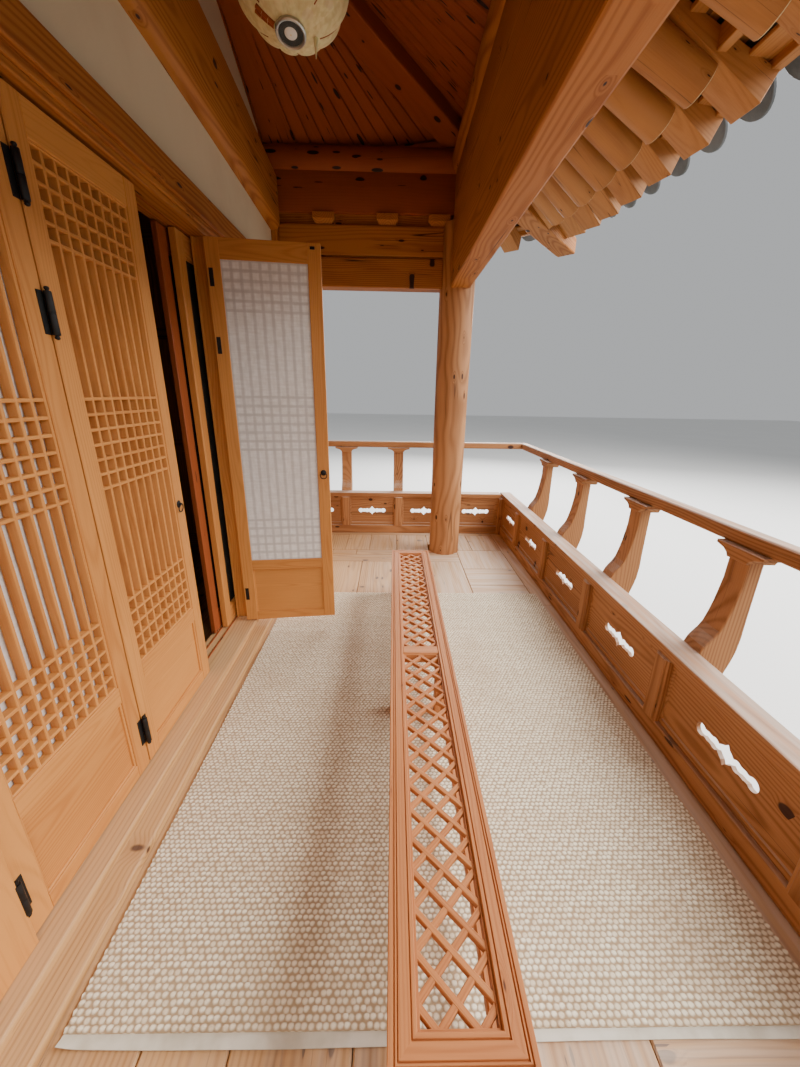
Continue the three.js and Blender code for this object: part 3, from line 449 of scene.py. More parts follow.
def makeJute():
    material, shader = startMaterial("wovenJute", {"Roughness": 0.92, "Sheen Weight": 0.15})
    place = objectPlace()
    axes = split(place)
    rowPlace = calc("DIVIDE", axes[0], jute["row"])
    row = calc("FLOOR", rowPlace)
    shift = times(calc("FLOORED_MODULO", row, 2.0), 0.5)
    along = plus(calc("DIVIDE", axes[1], jute["pitch"]), shift)
    cell = joined(row, calc("FLOOR", along))
    drawn = put("ShaderNodeTexWhiteNoise", {"Vector": cell}, noise_dimensions="2D").outputs
    # each knot sits a little off its place
    stray = splitColour(drawn[1])
    fromX = plus(minus(calc("FRACT", rowPlace), 0.5), fused(stray[0], 0.26, -0.13))
    fromY = plus(minus(calc("FRACT", along), 0.5), fused(stray[1], 0.26, -0.13))
    away = calc("SQRT", plus(times(fromX, fromX), times(fromY, fromY)))
    dome = rampUp(away, 0.2, 0.6, 1.0, 0.0)
    patch = noise(place, (3, 3, 3), 4.0)
    band = noise(place, (34, 2.2, 1), 2.0)
    mixed = plus(times(drawn[0], 0.55), fused(band, 0.9, -0.25))
    colour = blendColour(rampUp(mixed, 0.15, 0.85), (0.96, 0.86, 0.65), (0.70, 0.56, 0.37))
    colour = blendColour(rampUp(patch, 0.52, 0.74, 0.0, 0.6), colour, (0.60, 0.45, 0.29))
    turnedPlace = put("ShaderNodeVectorRotate", {"Vector": place, "Angle": 0.6}, rotation_type="Z_AXIS")
    strand = noise(turnedPlace.outputs[0], (900, 190, 190), 1.0)
    colour = blendColour(times(strand, 0.35), colour, (0.98, 0.92, 0.78))
    # the colour darkens to brown between the knots: painted shade in the gaps
    wire(blendColour(dome, (0.40, 0.28, 0.16), colour), shader["Base Color"])
    addBump(shader, fused(strand, 0.3, dome), 0.6, 0.003)
    return material


def makeCloth(name, light, dark, threads):
    material, shader = startMaterial(name, {"Roughness": 0.9})
    place = objectPlace()
    warp, weft = (put("ShaderNodeTexWave", {"Vector": place, "Scale": threads},
                      bands_direction=axis).outputs[1] for axis in "XY")
    weave = times(warp, weft)
    soil = noise(place, (14, 14, 14), 4.0)
    colour = blendColour(rampUp(soil, 0.35, 0.75), light, dark)
    wire(blendColour(times(weave, 0.12), colour, dark), shader["Base Color"])
    addBump(shader, weave, 0.3, 0.0005)
    return material


def makeMetal(name, colour, roughness):
    material, shader = startMaterial(name, {"Metallic": 1.0})
    haze = noise(objectPlace(), (60, 60, 60), 3.0)
    wire(blendColour(haze, colour, tuple(part * 0.7 for part in colour)), shader["Base Color"])
    wire(rampUp(haze, 0.3, 0.7, roughness - 0.08, roughness + 0.1), shader["Roughness"])
    return material


def makeBulb():
    material, shader = startMaterial("frostedBulb", {"Roughness": 0.35})
    wire(blendColour(noise(objectPlace(), (30, 30, 30)), (0.85, 0.84, 0.80), (0.7, 0.69, 0.66)),
         shader["Base Color"])
    return material


def makeLanternPaper():
    material, shader = startMaterial("lanternPaper", {"Roughness": 0.8, "Subsurface Weight": 0.2})
    place = objectPlace()
    thread = noise(place, (60, 60, 25), 3.0)
    mottle = noise(place, (22, 22, 22), 1.0)
    colour = blendColour(rampUp(thread, 0.35, 0.65), (0.78, 0.69, 0.38), (0.66, 0.56, 0.28))
    colour = blendColour(rampUp(mottle, 0.66, 0.70, 0.0, 0.35), colour, (0.62, 0.48, 0.34))
    wire(colour, shader["Base Color"])
    addBump(shader, thread, 0.3, 0.001)
    return material


finishes = {name: makeWood(name) for name in woods}
finishes.update({"plaster": makePlaster(), "granite": makeGranite(), "roofClay": makeTileClay(),
                 "limeMortar": makeLimeMortar(), "darkGlass": makeGlass(), "blackIron": makeIron(),
                 "wovenJute": makeJute(), "frostedBulb": makeBulb(), "lanternPaper": makeLanternPaper(),
                 "cottonHem": makeCloth("cottonHem", (0.70, 0.66, 0.56), (0.52, 0.47, 0.37), 180.0),
                 "ringSteel": makeMetal("ringSteel", (0.55, 0.54, 0.50), 0.35)})
print("materials ready")


# Shaping helpers: a primitive is opened in edit mode, shaped by operators and closed again
def selectAll():
    bpy.ops.mesh.select_all(action="SELECT")


def openShape(name):
    shape = bpy.context.object
    shape.name = name
    bpy.ops.object.mode_set(mode="EDIT")
    selectAll()
    return shape


def closeShape():
    bpy.ops.object.mode_set(mode="OBJECT")
    return bpy.context.object


# Chosen says which faces, edges or points to select
def pick(shape, kind, chosen):
    bpy.ops.object.mode_set(mode="OBJECT")
    mesh = shape.data
    for group in (mesh.vertices, mesh.edges, mesh.polygons):
        for part in group:
            part.select = False
    for part in {"VERT": mesh.vertices, "EDGE": mesh.edges, "FACE": mesh.polygons}[kind]:
        part.select = bool(chosen(part))
    bpy.ops.object.mode_set(mode="EDIT")
    bpy.ops.mesh.select_mode(type=kind)


def deselectAll():
    for item in bpy.context.selected_objects:
        item.select_set(False)


def chooseOnly(piece):
    deselectAll()
    piece.select_set(True)
    bpy.context.view_layer.objects.active = piece


def evenNormals():
    selectAll()
    bpy.ops.mesh.normals_make_consistent(inside=False)


# The selected faces grow into a closed solid
def thicken(*way):
    bpy.ops.mesh.extrude_region_move(TRANSFORM_OT_translate={"value": way})
    evenNormals()


# A box or block cut across into equal lengths between two ends along x
def cutAcross(low, high, cuts):
    for cut in range(1, cuts):
        selectAll()
        bpy.ops.mesh.bisect(plane_co=(low + (high - low) * cut / cuts, 0, 0), plane_no=(1, 0, 0))


# A flat grid of size 1 with a second one over it, closed round its edge
def slab(name, across, along, size=1):
    deselectAll()
    bpy.ops.mesh.primitive_grid_add(x_subdivisions=across, y_subdivisions=along, size=size)
    shape = openShape(name)
    thicken(0, 0, 1)
    closeShape()
    return shape


# An outline of pairs, each put in its place by a function, as one filled face
def outlineFace(outline, place):
    bpy.ops.mesh.primitive_circle_add(vertices=len(outline), radius=1, fill_type="NGON")
    shape = bpy.context.object
    for point, pair in zip(shape.data.vertices, outline):
        point.co = place(*pair)
    return shape


def applyMove():
    bpy.ops.object.transform_apply(location=True, rotation=True, scale=True)


# Keeps a shaped model's points and faces, and removes its object
def takeModel(shape):
    mesh = shape.data
    model = {"points": np.array([point.co[:] for point in mesh.vertices]),
             "faces": [tuple(face.vertices) for face in mesh.polygons],
             "slots": [face.material_index for face in mesh.polygons]}
    bpy.data.objects.remove(shape)
    return model


# A block of side 2 with eased edges, and cut across if it has to follow a curve
def blockModel(edge, segments=1, cuts=1):
    bpy.ops.mesh.primitive_cube_add(size=2)
    shape = openShape("blockModel")
    bpy.ops.mesh.bevel(offset=edge, segments=segments, affect="EDGES")
    cutAcross(-1, 1, cuts)
    closeShape()
    return takeModel(shape)


# A log of radius 1 and length 1 along x, with eased ends; slot 1 is the sawn ends
def logModel(sides, edge=0.06):
    bpy.ops.mesh.primitive_cylinder_add(vertices=sides, radius=1, depth=1, rotation=(0, math.pi / 2, 0))
    applyMove()
    shape = openShape("logModel")
    pick(shape, "FACE", lambda face: abs(face.normal.x) > 0.9)
    bpy.ops.mesh.inset(thickness=edge, use_individual=True)
    closeShape()
    for face in shape.data.polygons:
        face.material_index = 1 if abs(face.normal.x) > 0.9 else 0
    for point in shape.data.vertices:
        if math.hypot(point.co.y, point.co.z) > 0.99:
            point.co.x *= 1 - edge * 0.15
    return takeModel(shape)


def setGrain(mesh, vectors, tones):
    grain = mesh.attributes.new("grain", "FLOAT_VECTOR", "POINT")
    grain.data.foreach_set("vector", vectors.astype(np.float32).ravel())
    tone = mesh.attributes.new("tone", "FLOAT", "POINT")
    tone.data.foreach_set("value", tones.astype(np.float32))


# Parts are (points, grain, tone, model); one mesh from them all, with grain and tone on its points
def buildPiece(name, parts, materials, rounded=False):
    points, grains, tones, faces, slots = [], [], [], [], []
    start = 0
    for place, grain, tone, model in parts:
        points.append(place)
        grains.append(grain)
        tones.append(np.full(len(place), tone))
        faces.extend([tuple(index + start for index in face) for face in model["faces"]])
        slots.extend(model["slots"])
        start += len(place)
    mesh = bpy.data.meshes.new(name)
    mesh.from_pydata(np.concatenate(points).tolist(), [], faces)
    for material in materials:
        mesh.materials.append(finishes[material])
    mesh.polygons.foreach_set("material_index", np.minimum(slots, len(materials) - 1))
    setGrain(mesh, np.concatenate(grains), np.concatenate(tones))
    mesh.validate()
    piece = bpy.data.objects.new(name, mesh)
    bpy.context.scene.collection.objects.link(piece)
    if rounded:
        smoothPiece(piece, rounded)
    return piece


def smoothPiece(piece, degrees):
    chooseOnly(piece)
    bpy.ops.object.shade_smooth_by_angle(angle=math.radians(degrees))


def settle(piece, body, slot, *replaced):
    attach(piece, body)
    if replaced:
        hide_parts(*replaced)
    return piece


# Where a board lay in its log: far along it, and a little off its heart
def pithAt(size):
    return np.array([chance.uniform(0, 60), chance.uniform(-0.3, 0.3) * size[1],
                     chance.choice((-1, 1)) * chance.uniform(0.02, 0.09)])


# The eased block's ends moved apart to a size, its edges kept
def fitted(points, size):
    half = np.array(size) / 2
    return np.sign(points) * (half - (1 - np.abs(points)))


def carried(points, place):
    matrix = np.array(place)
    return points @ matrix[:3, :3].T + matrix[:3, 3]


def anyTone():
    return chance.uniform(-1, 1)


# One board: size is its three sides, place its matrix
def timber(model, size, place):
    local = fitted(model["points"], size)
    order = np.argsort(-np.array(size), kind="stable")
    grain = local[:, order] + pithAt(np.array(size)[order])
    return carried(local, place), grain, anyTone(), model


def span(x0, x1, y0, y1, z0, z1):
    return (x1 - x0, y1 - y0, z1 - z0), Matrix.Translation(((x0 + x1) / 2, (y0 + y1) / 2, (z0 + z1) / 2))


# The same for a box given by its limits, moved by an optional matrix
def boxed(model, box, move=None):
    size, place = span(*box)
    return timber(model, size, move @ place if move else place)


# One piece from such boxes
def timbers(name, boxes, model, material):
    return buildPiece(name, [boxed(model, box) for box in boxes], [material])


# Matrix whose x runs from start to end, with its z as upright as that allows
def alongLine(start, end):
    run = Vector(end) - Vector(start)
    ahead = run.normalized()
    side = Vector((0, 0, 1)).cross(ahead).normalized()
    up = ahead.cross(side)
    place = Matrix((ahead, side, up)).transposed().to_4x4()
    place.translation = (Vector(start) + Vector(end)) / 2
    return place, run.length


def loggedPart(model, start, end, radius, endRadius=None):
    place, length = alongLine(start, end)
    points = model["points"].copy()
    widths = np.interp(points[:, 0], (-0.5, 0.5), (radius, endRadius or radius))
    points = np.column_stack((points[:, 0] * length, points[:, 1] * widths, points[:, 2] * widths))
    shift = np.array([chance.uniform(0, 60), chance.uniform(-0.02, 0.02), chance.uniform(-0.02, 0.02)])
    return carried(points, place), points + shift, anyTone(), model


softEdge, fineEdge, bluntEdge = blockModel(0.004), blockModel(0.0015), blockModel(0.012, 2)
roundLog = logModel(40)
print("shaping tools ready")


# Driving dimensions of the house, as the solids have them
house = {"floorTop": 0.6, "bay": 2.14, "frontLine": -1.87, "wallLine": -0.455, "backLine": 1.87,
         "postHalf": 0.115, "columnTop": 3.1, "railEnd": 2.609, "railInner": -2.498, "railBack": -0.354,
         "baseMargin": 0.15}

# Granite base of dressed blocks in three courses, long capstones on top
base = {"course": 0.2, "joint": 0.006, "deep": 0.16, "lengths": (0.42, 0.72), "capLengths": (0.85, 1.25)}


def cutRun(start, end, shortest, longest):
    cuts = [start]
    while end - cuts[-1] > longest * 1.3:
        cuts.append(cuts[-1] + chance.uniform(shortest, longest))
    return list(zip(cuts, cuts[1:] + [end]))


def addBase():
    sideX = house["bay"] + house["baseMargin"]
    front, back = house["wallLine"] - house["postHalf"], house["backLine"] + house["baseMargin"]
    gap, deep = base["joint"] / 2, base["deep"]
    blocks = []
    for row in range(3):
        low, high = row * base["course"] + gap * (row > 0), (row + 1) * base["course"] - gap * (row < 2)
        lengths = base["capLengths"] if row == 2 else base["lengths"]
        for sign, edge in ((-1, front), (1, back)):
            for start, end in cutRun(-sideX, sideX, *lengths):
                blocks.append((start + gap, end - gap, *sorted((edge, edge - sign * deep)), low, high))
            for start, end in cutRun(front + deep, back - deep, *lengths):
                ends = sorted((sign * sideX, sign * (sideX - deep)))
                blocks.append((*ends, start + gap, end - gap, low, high))
    inner = 0.012
    blocks.append((inner - sideX, sideX - inner, front + inner, back - inner, 0.0, 0.594))
    settle(timbers("stoneBase", blocks, stoneEdge, "granite"), "house", "granite", "room_base")


# Tapered foundation stones under the two front columns
padStone = {"top": 0.215, "foot": 0.27, "tall": 0.45}


def addPadStone(name, x, replaced):
    deselectAll()
    bpy.ops.mesh.primitive_cone_add(vertices=4, radius1=padStone["foot"], radius2=padStone["top"],
                                    depth=padStone["tall"], rotation=(0, 0, math.pi / 4),
                                    location=(x, house["frontLine"], padStone["tall"] / 2))
    applyMove()
    stone = openShape(name)
    bpy.ops.mesh.bevel(offset=0.016, segments=2, affect="EDGES")
    selectAll()
    bpy.ops.mesh.subdivide(number_cuts=3)
    pick(stone, "VERT", lambda point: 0.02 < point.co.z < padStone["tall"] - 0.02)
    bpy.ops.transform.vertex_random(offset=0.004, uniform=0.6, seed=int(x * 10) % 7)
    closeShape()
    dressAlone(stone, "granite")
    settle(stone, "house", "granite", replaced)


# A piece shaped on its own: its grain runs along its longest side
def dressAlone(piece, *materials, axis=None, shift=None):
    mesh = piece.data
    points = np.array([point.co[:] for point in mesh.vertices])
    sizes = points.max(axis=0) - points.min(axis=0)
    order = np.argsort(-sizes, kind="stable") if axis is None else np.roll((0, 1, 2), -axis)
    middle = (points.max(axis=0) + points.min(axis=0)) / 2
    vectors = (points - middle)[:, order] + (pithAt(sizes[order]) if shift is None else np.array(shift))
    setGrain(mesh, vectors, np.full(len(points), anyTone()))
    mesh.materials.clear()
    for material in materials:
        mesh.materials.append(finishes[material])
    return piece


# Frame under the veranda: long and cross joists, short piers and corner posts
joist = {"half": 0.045, "top": 0.5547, "low": 0.3997, "pier": 0.075, "cornerPost": 0.06, "side": 2.36,
         "edge": 2.669, "front": -2.558, "back": -0.5703, "stoneRoom": 0.172}


def addJoists():
    half, top, low, edge = joist["half"], joist["top"], joist["low"], joist["edge"]
    boxes = []
    for y in (joist["front"] + half, house["frontLine"], joist["back"] - joist["cornerPost"]):
        runs = [(-edge, edge)]
        if y == house["frontLine"]:
            near, far = house["bay"] - joist["stoneRoom"], house["bay"] + joist["stoneRoom"]
            runs = [(-edge, -far), (-near, near), (far, edge)]
        boxes.extend([(start, end, y - half, y + half, low, top) for start, end in runs])
    for x in (-edge + half, -joist["side"], -house["bay"] / 2, 0, house["bay"] / 2, joist["side"],
              edge - half):
        back = house["railBack"] if abs(x) > 2.3 else joist["back"] - 0.015
        boxes.append((x - half, x + half, joist["front"] + 0.002, back, low + 0.003, top - 0.003))
    for x in (-house["bay"] / 2, 0, house["bay"] / 2):
        pier = joist["pier"]
        boxes.append((x - pier, x + pier, house["frontLine"] - pier, house["frontLine"] + pier, 0,
                      top - 0.002))
    for x in (-joist["side"], joist["side"]):
        post = joist["cornerPost"]
        boxes.append((x - post, x + post, joist["back"] - 2 * post, joist["back"], 0, top - 0.002))
    settle(timbers("verandaTimbers", boxes, softEdge, "railPine"), "house", "pine", "veranda_frame")


# Veranda boards: planks along the house between cross planks, a front strip laid crossways
boards = {"thick": 0.045, "gap": 0.0025, "crossPlank": 0.16, "sillPlank": 0.30,
          "railPlank": 0.16, "frontStrip": -1.985, "widths": (0.24, 0.34)}


def addBoards():
    top, low, gap = house["floorTop"], house["floorTop"] - boards["thick"], boards["gap"] / 2
    wide, back = joist["edge"], joist["back"]
    inside = house["bay"] - 0.02
    rows = []

    def plank(x0, x1, y0, y1):
        drop = chance.uniform(0, 0.0012)
        rows.append((x0 + gap, x1 - gap, y0 + gap, y1 - gap, low - drop, top - drop))

    sillEdge = back - boards["sillPlank"]
    for start, end in ((-inside, -0.95), (-0.95, 1.35), (1.35, inside)):
        plank(start, end, sillEdge, back)
    cross = [-inside, -1.24, -0.19, 0.88, 1.93, inside]
    half = boards["crossPlank"] / 2
    strip = boards["frontStrip"]
    for x in cross[1:-1]:
        plank(x - half, x + half, strip, sillEdge)
    for left, right in zip(cross, cross[1:]):
        x0 = left + (half if left > -inside else 0)
        x1 = right - (half if right < inside else 0)
        for y0, y1 in cutRun(strip, sillEdge, *boards["widths"]):
            plank(x0, x1, y0, y1)
    for x0, x1 in cutRun(-inside, inside, 0.26, 0.36):
        plank(x0, x1, joist["front"] + boards["railPlank"], strip)
    for start, end in ((-wide, -0.9), (-0.9, 1.1), (1.1, wide)):
        plank(start, end, joist["front"], joist["front"] + boards["railPlank"])
    # beside the corner columns the boards run across to the side rails, whole round the column's foot
    for sign in (-1, 1):
        ends = sorted((sign * inside, sign * (wide - 0.13)))
        hole = house["frontLine"]
        for y0, y1 in cutRun(joist["front"] + boards["railPlank"], hole - 0.134, 0.2, 0.3):
            plank(*ends, y0, y1)
        for y0, y1 in cutRun(hole + 0.134, house["railBack"] - 0.22, 0.22, 0.32):
            plank(*ends, y0, y1)
        outer = sorted((sign * (house["bay"] + 0.134), sign * (wide - 0.13)))
        plank(*outer, hole - 0.134, hole)
        plank(*outer, hole, hole + 0.134)
        plank(*sorted((sign * (house["bay"] + 0.152), sign * (wide - 0.13))), house["railBack"] - 0.22,
              house["railBack"])
        plank(*sorted((sign * (wide - 0.13), sign * wide)), joist["front"] + boards["railPlank"],
              house["railBack"])
    settle(timbers("verandaBoards", rows, softEdge, "floorPine"), "house", "floor_pine", "veranda_floor")


# Boards of the room's own floor
def addRoomBoards():
    half = house["bay"] - house["postHalf"] - 0.001
    rows = []
    for y0, y1 in cutRun(-0.39, house["backLine"] - house["postHalf"] - 0.001, 0.15, 0.17):
        for x0, x1 in cutRun(-half, half, 1.2, 1.9):
            rows.append((x0 + 0.001, x1 - 0.001, y0 + 0.001, y1 - 0.001, 0.6003, 0.62))
    settle(timbers("roomBoards", rows, fineEdge, "floorPine"), "house", "floor_pine", "room_floor")


stoneEdge = blockModel(0.009)
addBase()
addPadStone("padStoneLeft", -house["bay"], "stone_front_left")
addPadStone("padStoneRight", house["bay"], "stone_front_right")
addJoists()
addBoards()
addRoomBoards()
print("base and floors ready")


# Round front columns: a slightly uneven log with a long drying crack; squared posts stand behind
column = {"radius": 0.133, "foot": 0.4503, "sides": 48, "rings": 30}


def addRoundColumn(name, x, replaced):
    deselectAll()
    tall = house["columnTop"] - column["foot"]
    bpy.ops.mesh.primitive_cylinder_add(vertices=column["sides"], radius=column["radius"] - 0.001,
                                        depth=tall,
                                        location=(x, house["frontLine"], column["foot"] + tall / 2))
    applyMove()
    log = openShape(name)
    pick(log, "FACE", lambda face: abs(face.normal.z) > 0.9)
    bpy.ops.mesh.bevel(offset=0.006, segments=2, affect="EDGES")
    for ring in range(1, column["rings"]):
        selectAll()
        bpy.ops.mesh.bisect(plane_co=(0, 0, column["foot"] + tall * ring / column["rings"]),
                            plane_no=(0, 0, 1))
    closeShape()
    crackTurn = 0.9 if x > 0 else 2.2
    for point in log.data.vertices:
        high = point.co.z
        turn = math.atan2(point.co.y - house["frontLine"], point.co.x - x)
        bulge = 0.0012 * math.sin(2 * turn + high * 1.7) + 0.001 * math.sin(5 * turn - high * 3.1)
        away = (turn - crackTurn - 0.10 * math.sin(high * 1.9)) / 0.045
        bulge -= 0.007 * math.exp(-away * away) * max(0.0, math.sin((high - 0.5) * 1.25))
        factor = 1 + (bulge - 0.0014) / column["radius"]
        point.co.x = x + (point.co.x - x) * factor
        point.co.y = house["frontLine"] + (point.co.y - house["frontLine"]) * factor
    dressAlone(log, "railPine", axis=2, shift=(3 + x, 0.018, 0.012))
    smoothPiece(log, 40)
    settle(log, "house", "pine", replaced)


def addSquarePost(name, x, y, replaced):
    half = house["postHalf"]
    box = (x - half, x + half, y - half, y + half, house["floorTop"] + 0.0003, house["columnTop"])
    settle(timbers(name, [box], bluntEdge, "beamPine"), "house", "pine", replaced)


for side, sign in (("left", -1), ("right", 1)):
    addRoundColumn("roundColumn_" + side, sign * house["bay"], "column_front_" + side)
    addSquarePost("wallPost_" + side, sign * house["bay"], house["wallLine"], "column_wall_" + side)
    addSquarePost("backPost_" + side, sign * house["bay"], house["backLine"], "column_back_" + side)
print("columns ready")


# Turned shapes grow ring by ring from a disc
def turnedModel(profile, sides):
    deselectAll()
    bpy.ops.mesh.primitive_circle_add(vertices=sides, radius=profile[0][0], fill_type="NGON",
                                      location=(0, 0, profile[0][1]))
    applyMove()
    shape = openShape("turnedModel")
    for (radius, height), (nextRadius, nextHeight) in zip(profile, profile[1:]):
        bpy.ops.mesh.extrude_region_move(TRANSFORM_OT_translate={"value": (0, 0, nextHeight - height)})
        grow = nextRadius / radius
        bpy.ops.transform.resize(value=(grow, grow, 1))
    evenNormals()
    closeShape()
    return takeModel(shape)


# Bends a long block along a path: path(t) gives a point for t from 0 to 1, and z stays upright
def bentTimber(model, width, tall, path, ends=None):
    points = model["points"]
    steps = (points[:, 0] + 1) / 2
    centres = np.array([path(step) for step in steps])
    ahead = np.array([np.array(path(step + 0.002)) - np.array(path(step - 0.002)) for step in steps])
    length = float(np.linalg.norm(np.array(path(1.0)) - np.array(path(0.0))))
    flat = np.hypot(ahead[:, 0], ahead[:, 1])
    side = np.column_stack((-ahead[:, 1] / flat, ahead[:, 0] / flat, np.zeros(len(points))))
    local = fitted(points, (2.0, width, tall))
    if ends is not None:
        local[:, 2] = local[:, 2] + np.array([ends(step) for step in steps]) * (local[:, 2] < 0)
    placed = centres + side * local[:, 1:2] + np.array((0, 0, 1)) * local[:, 2:3]
    grain = np.column_stack((steps * length, local[:, 1], local[:, 2])) + pithAt((length, width, tall))
    return placed, grain, anyTone(), model


# How far an edge runs along x
def runAlong(shape, edge):
    ends = [shape.data.vertices[index].co.x for index in edge.vertices]
    return abs(ends[0] - ends[1])


# An outline in y and z extruded along x and its long edges eased
def outlineModel(outline, thick, ease):
    deselectAll()
    shape = outlineFace(outline, lambda out, high: (-thick / 2, out, high))
    openShape("outlineModel")
    thicken(thick, 0, 0)
    pick(shape, "EDGE", lambda edge: runAlong(shape, edge) < 0.001)
    bpy.ops.mesh.bevel(offset=ease, segments=1, affect="EDGES")
    closeShape()
    return takeModel(shape)


def placedPart(model, place):
    points = model["points"]
    return carried(points, place), points + np.array([chance.uniform(0, 60), 0.03, 0.02]), anyTone(), model


# Part with another material slot throughout, and part with its faces turned over
def withSlot(part, slot):
    return (*part[:3], {**part[3], "slots": [slot] * len(part[3]["slots"])})


def turnedOver(model):
    return {**model, "faces": [face[::-1] for face in model["faces"]]}


def faceModel(faces):
    return {"faces": faces, "slots": [0] * len(faces)}


def turned(axis, degrees):
    return Matrix.Rotation(math.radians(degrees), 4, axis)


def moved(x, y, z):
    return Matrix.Translation((x, y, z))


# Door leaf in its own frame: x from the free side, y into the room, z up from the ground
leaf = {"wide": 0.512, "thick": 0.04, "bottom": 0.666, "top": 2.593, "stile": 0.062,
        "panel": (0.716, 0.981), "field": (1.041, 2.508), "columns": 9, "barWide": 0.0095,
        "barFace": 0.006, "barBack": 0.031, "paper": (0.0323, 0.0343),
        "low": {"start": 1.041, "rise": 0.0472, "bars": range(1, 6)},
        "middle": {"start": 1.658, "rise": 0.0435, "bars": range(0, 7)},
        "high": {"start": 2.302, "rise": 0.0412, "bars": range(0, 5)}}
leafPitch = (leaf["wide"] - 2 * leaf["stile"]) / leaf["columns"]
doorPlaces = {"foldA": moved(-0.736, -0.53, 0), "foldB": moved(-0.218, -0.53, 0),
              "swing": moved(0.82, -0.541, 0) @ turned("Z", 97) @ moved(-0.515, 0.011, 0)}


def leafBoxes():
    wide, thick, stile = leaf["wide"], leaf["thick"], leaf["stile"]
    low, high = leaf["field"]
    panelLow, panelHigh = leaf["panel"]
    inner = wide - stile
    frameBoxes = [(0, stile, 0, thick, leaf["bottom"], leaf["top"]),
                  (inner, wide, 0, thick, leaf["bottom"], leaf["top"])]
    for z0, z1 in ((leaf["bottom"], panelLow), (panelHigh, low), (high, leaf["top"])):
        frameBoxes.append((stile - 0.001, inner + 0.001, 0.0006, thick - 0.0006, z0, z1))
    frameBoxes.append((stile - 0.003, inner + 0.003, 0.012, 0.030, panelLow - 0.003, panelHigh + 0.003))
    step = 0.006
    for z0, z1 in ((low, high), (panelLow, panelHigh)):
        for x0, x1 in ((stile, stile + step), (inner - step, inner)):
            frameBoxes.append((x0 - 0.001, x1 + 0.001, 0.004, 0.0315, z0, z1))
        for z in (z0, z1 - step):
            frameBoxes.append((stile, inner, 0.0045, 0.031, z - 0.001, z + step + 0.001))
    return frameBoxes


def barBoxes():
    half, face, back = leaf["barWide"] / 2, leaf["barFace"], leaf["barBack"]
    low, high = leaf["field"]
    boxes = []
    for column in range(1, leaf["columns"]):
        x = leaf["stile"] + column * leafPitch
        boxes.append((x - half, x + half, face, back, low - 0.003, high + 0.003))
    for band in ("low", "middle", "high"):
        for bar in leaf[band]["bars"]:
            z = leaf[band]["start"] + bar * leaf[band]["rise"]
            if bar or band != "low":
                boxes.append((leaf["stile"] - 0.003, leaf["wide"] - leaf["stile"] + 0.003, face + 0.0005,
                              back - 0.0005, z - half, z + half))
    return boxes


def addLeaf(name, place, body, replaced):
    parts = []
    for boxes, model in ((leafBoxes(), leafEdge), (barBoxes(), fineEdge)):
        for box in boxes:
            parts.append(boxed(model, box, place))
    settle(buildPiece(name, parts, ["doorPine"]), body, "pine", replaced)


# Paper glued behind the bars, a little slack between them
def addPaper(name, place, material, body, replaced):
    room = 0.0003
    x0, x1 = leaf["stile"] + room, leaf["wide"] - leaf["stile"] - room
    z0, z1 = leaf["field"][0] + room, leaf["field"][1] - room
    y0, y1 = leaf["paper"]
    sheet = slab(name, 18, 68)
    mesh = sheet.data
    spots = []
    for point in mesh.vertices:
        u, v = (point.co.x + 0.5) * (x1 - x0), (point.co.y + 0.5) * (z1 - z0)
        slack = 0.0005 * abs(math.sin(math.pi * u / leafPitch)) * math.sin(v * 23 + u * 9)
        spots.append((u, v))
        point.co = place @ Vector((x0 + u, y0 + (y1 - y0) * (1 - point.co.z) + slack, z0 + v))
    layer = mesh.uv_layers.new(name="sheetPlace")
    for loop in mesh.loops:
        layer.data[loop.index].uv = spots[loop.vertex_index]
    mesh.materials.append(finishes[material])
    chooseOnly(sheet)
    openShape(name)
    evenNormals()
    closeShape()
    smoothPiece(sheet, 40)
    settle(sheet, body, "paper", replaced)


# layout of the painted bar shadows on the paper; the folding leaves' plain paper gets none of them
barShadowLayout = {"Pitch": leafPitch, "Low rise": 0.0472, "Low top": 0.236, "Middle rise": 0.0435,
             "Middle low": 0.617, "Middle top": 0.878, "High rise": 0.0412, "High low": 1.261}
finishes["barShadowedPaper"] = makePaper("barShadowedPaper", barShadowLayout, 0.42)
finishes["plainPaper"] = makePaper("plainPaper", barShadowLayout, 0.0)
leafEdge = blockModel(0.0022)
for letter in "AB":
    addLeaf("foldLeaf" + letter, doorPlaces["fold" + letter], "house", "fold_leaf_" + letter.lower())
    addPaper("foldPaper" + letter, doorPlaces["fold" + letter], "plainPaper", "house",
             "fold_paper_" + letter.lower())
addLeaf("swingLeaf", doorPlaces["swing"], "swing_door", "swing_leaf")
addPaper("swingPaper", doorPlaces["swing"], "barShadowedPaper", "swing_door", "swing_paper")

# Black iron: hinge barrels with ball ends, their plates, and ring pulls on small roses
hinge = {"knuckle": 0.05, "line": -0.541, "heights": (0.81, 2.125, 2.41), "plate": 0.024}
knuckleModel = turnedModel([(0.0088, 0.0004), (0.009, 0.001), (0.009, 0.0485), (0.0082, 0.05),
                            (0.0042, 0.0505), (0.004, 0.052), (0.0058, 0.0545), (0.0062, 0.057),
                            (0.005, 0.0595), (0.0015, 0.061)], 16)


def knuckles(x, z, which="both"):
    place = moved(x, hinge["line"], z)
    parts = []
    if which != "lower":
        parts.append(placedPart(knuckleModel, place))
    if which != "upper":
        parts.append(placedPart(knuckleModel, place @ turned("X", 180)))
    return parts


def ringModel():
    deselectAll()
    bpy.ops.mesh.primitive_torus_add(major_radius=0.017, minor_radius=0.0023, major_segments=28,
                                     minor_segments=8, location=(0, -0.0075, -0.015),
                                     rotation=(math.pi / 2 + 0.12, 0, 0))
    applyMove()
    return takeModel(bpy.context.object)


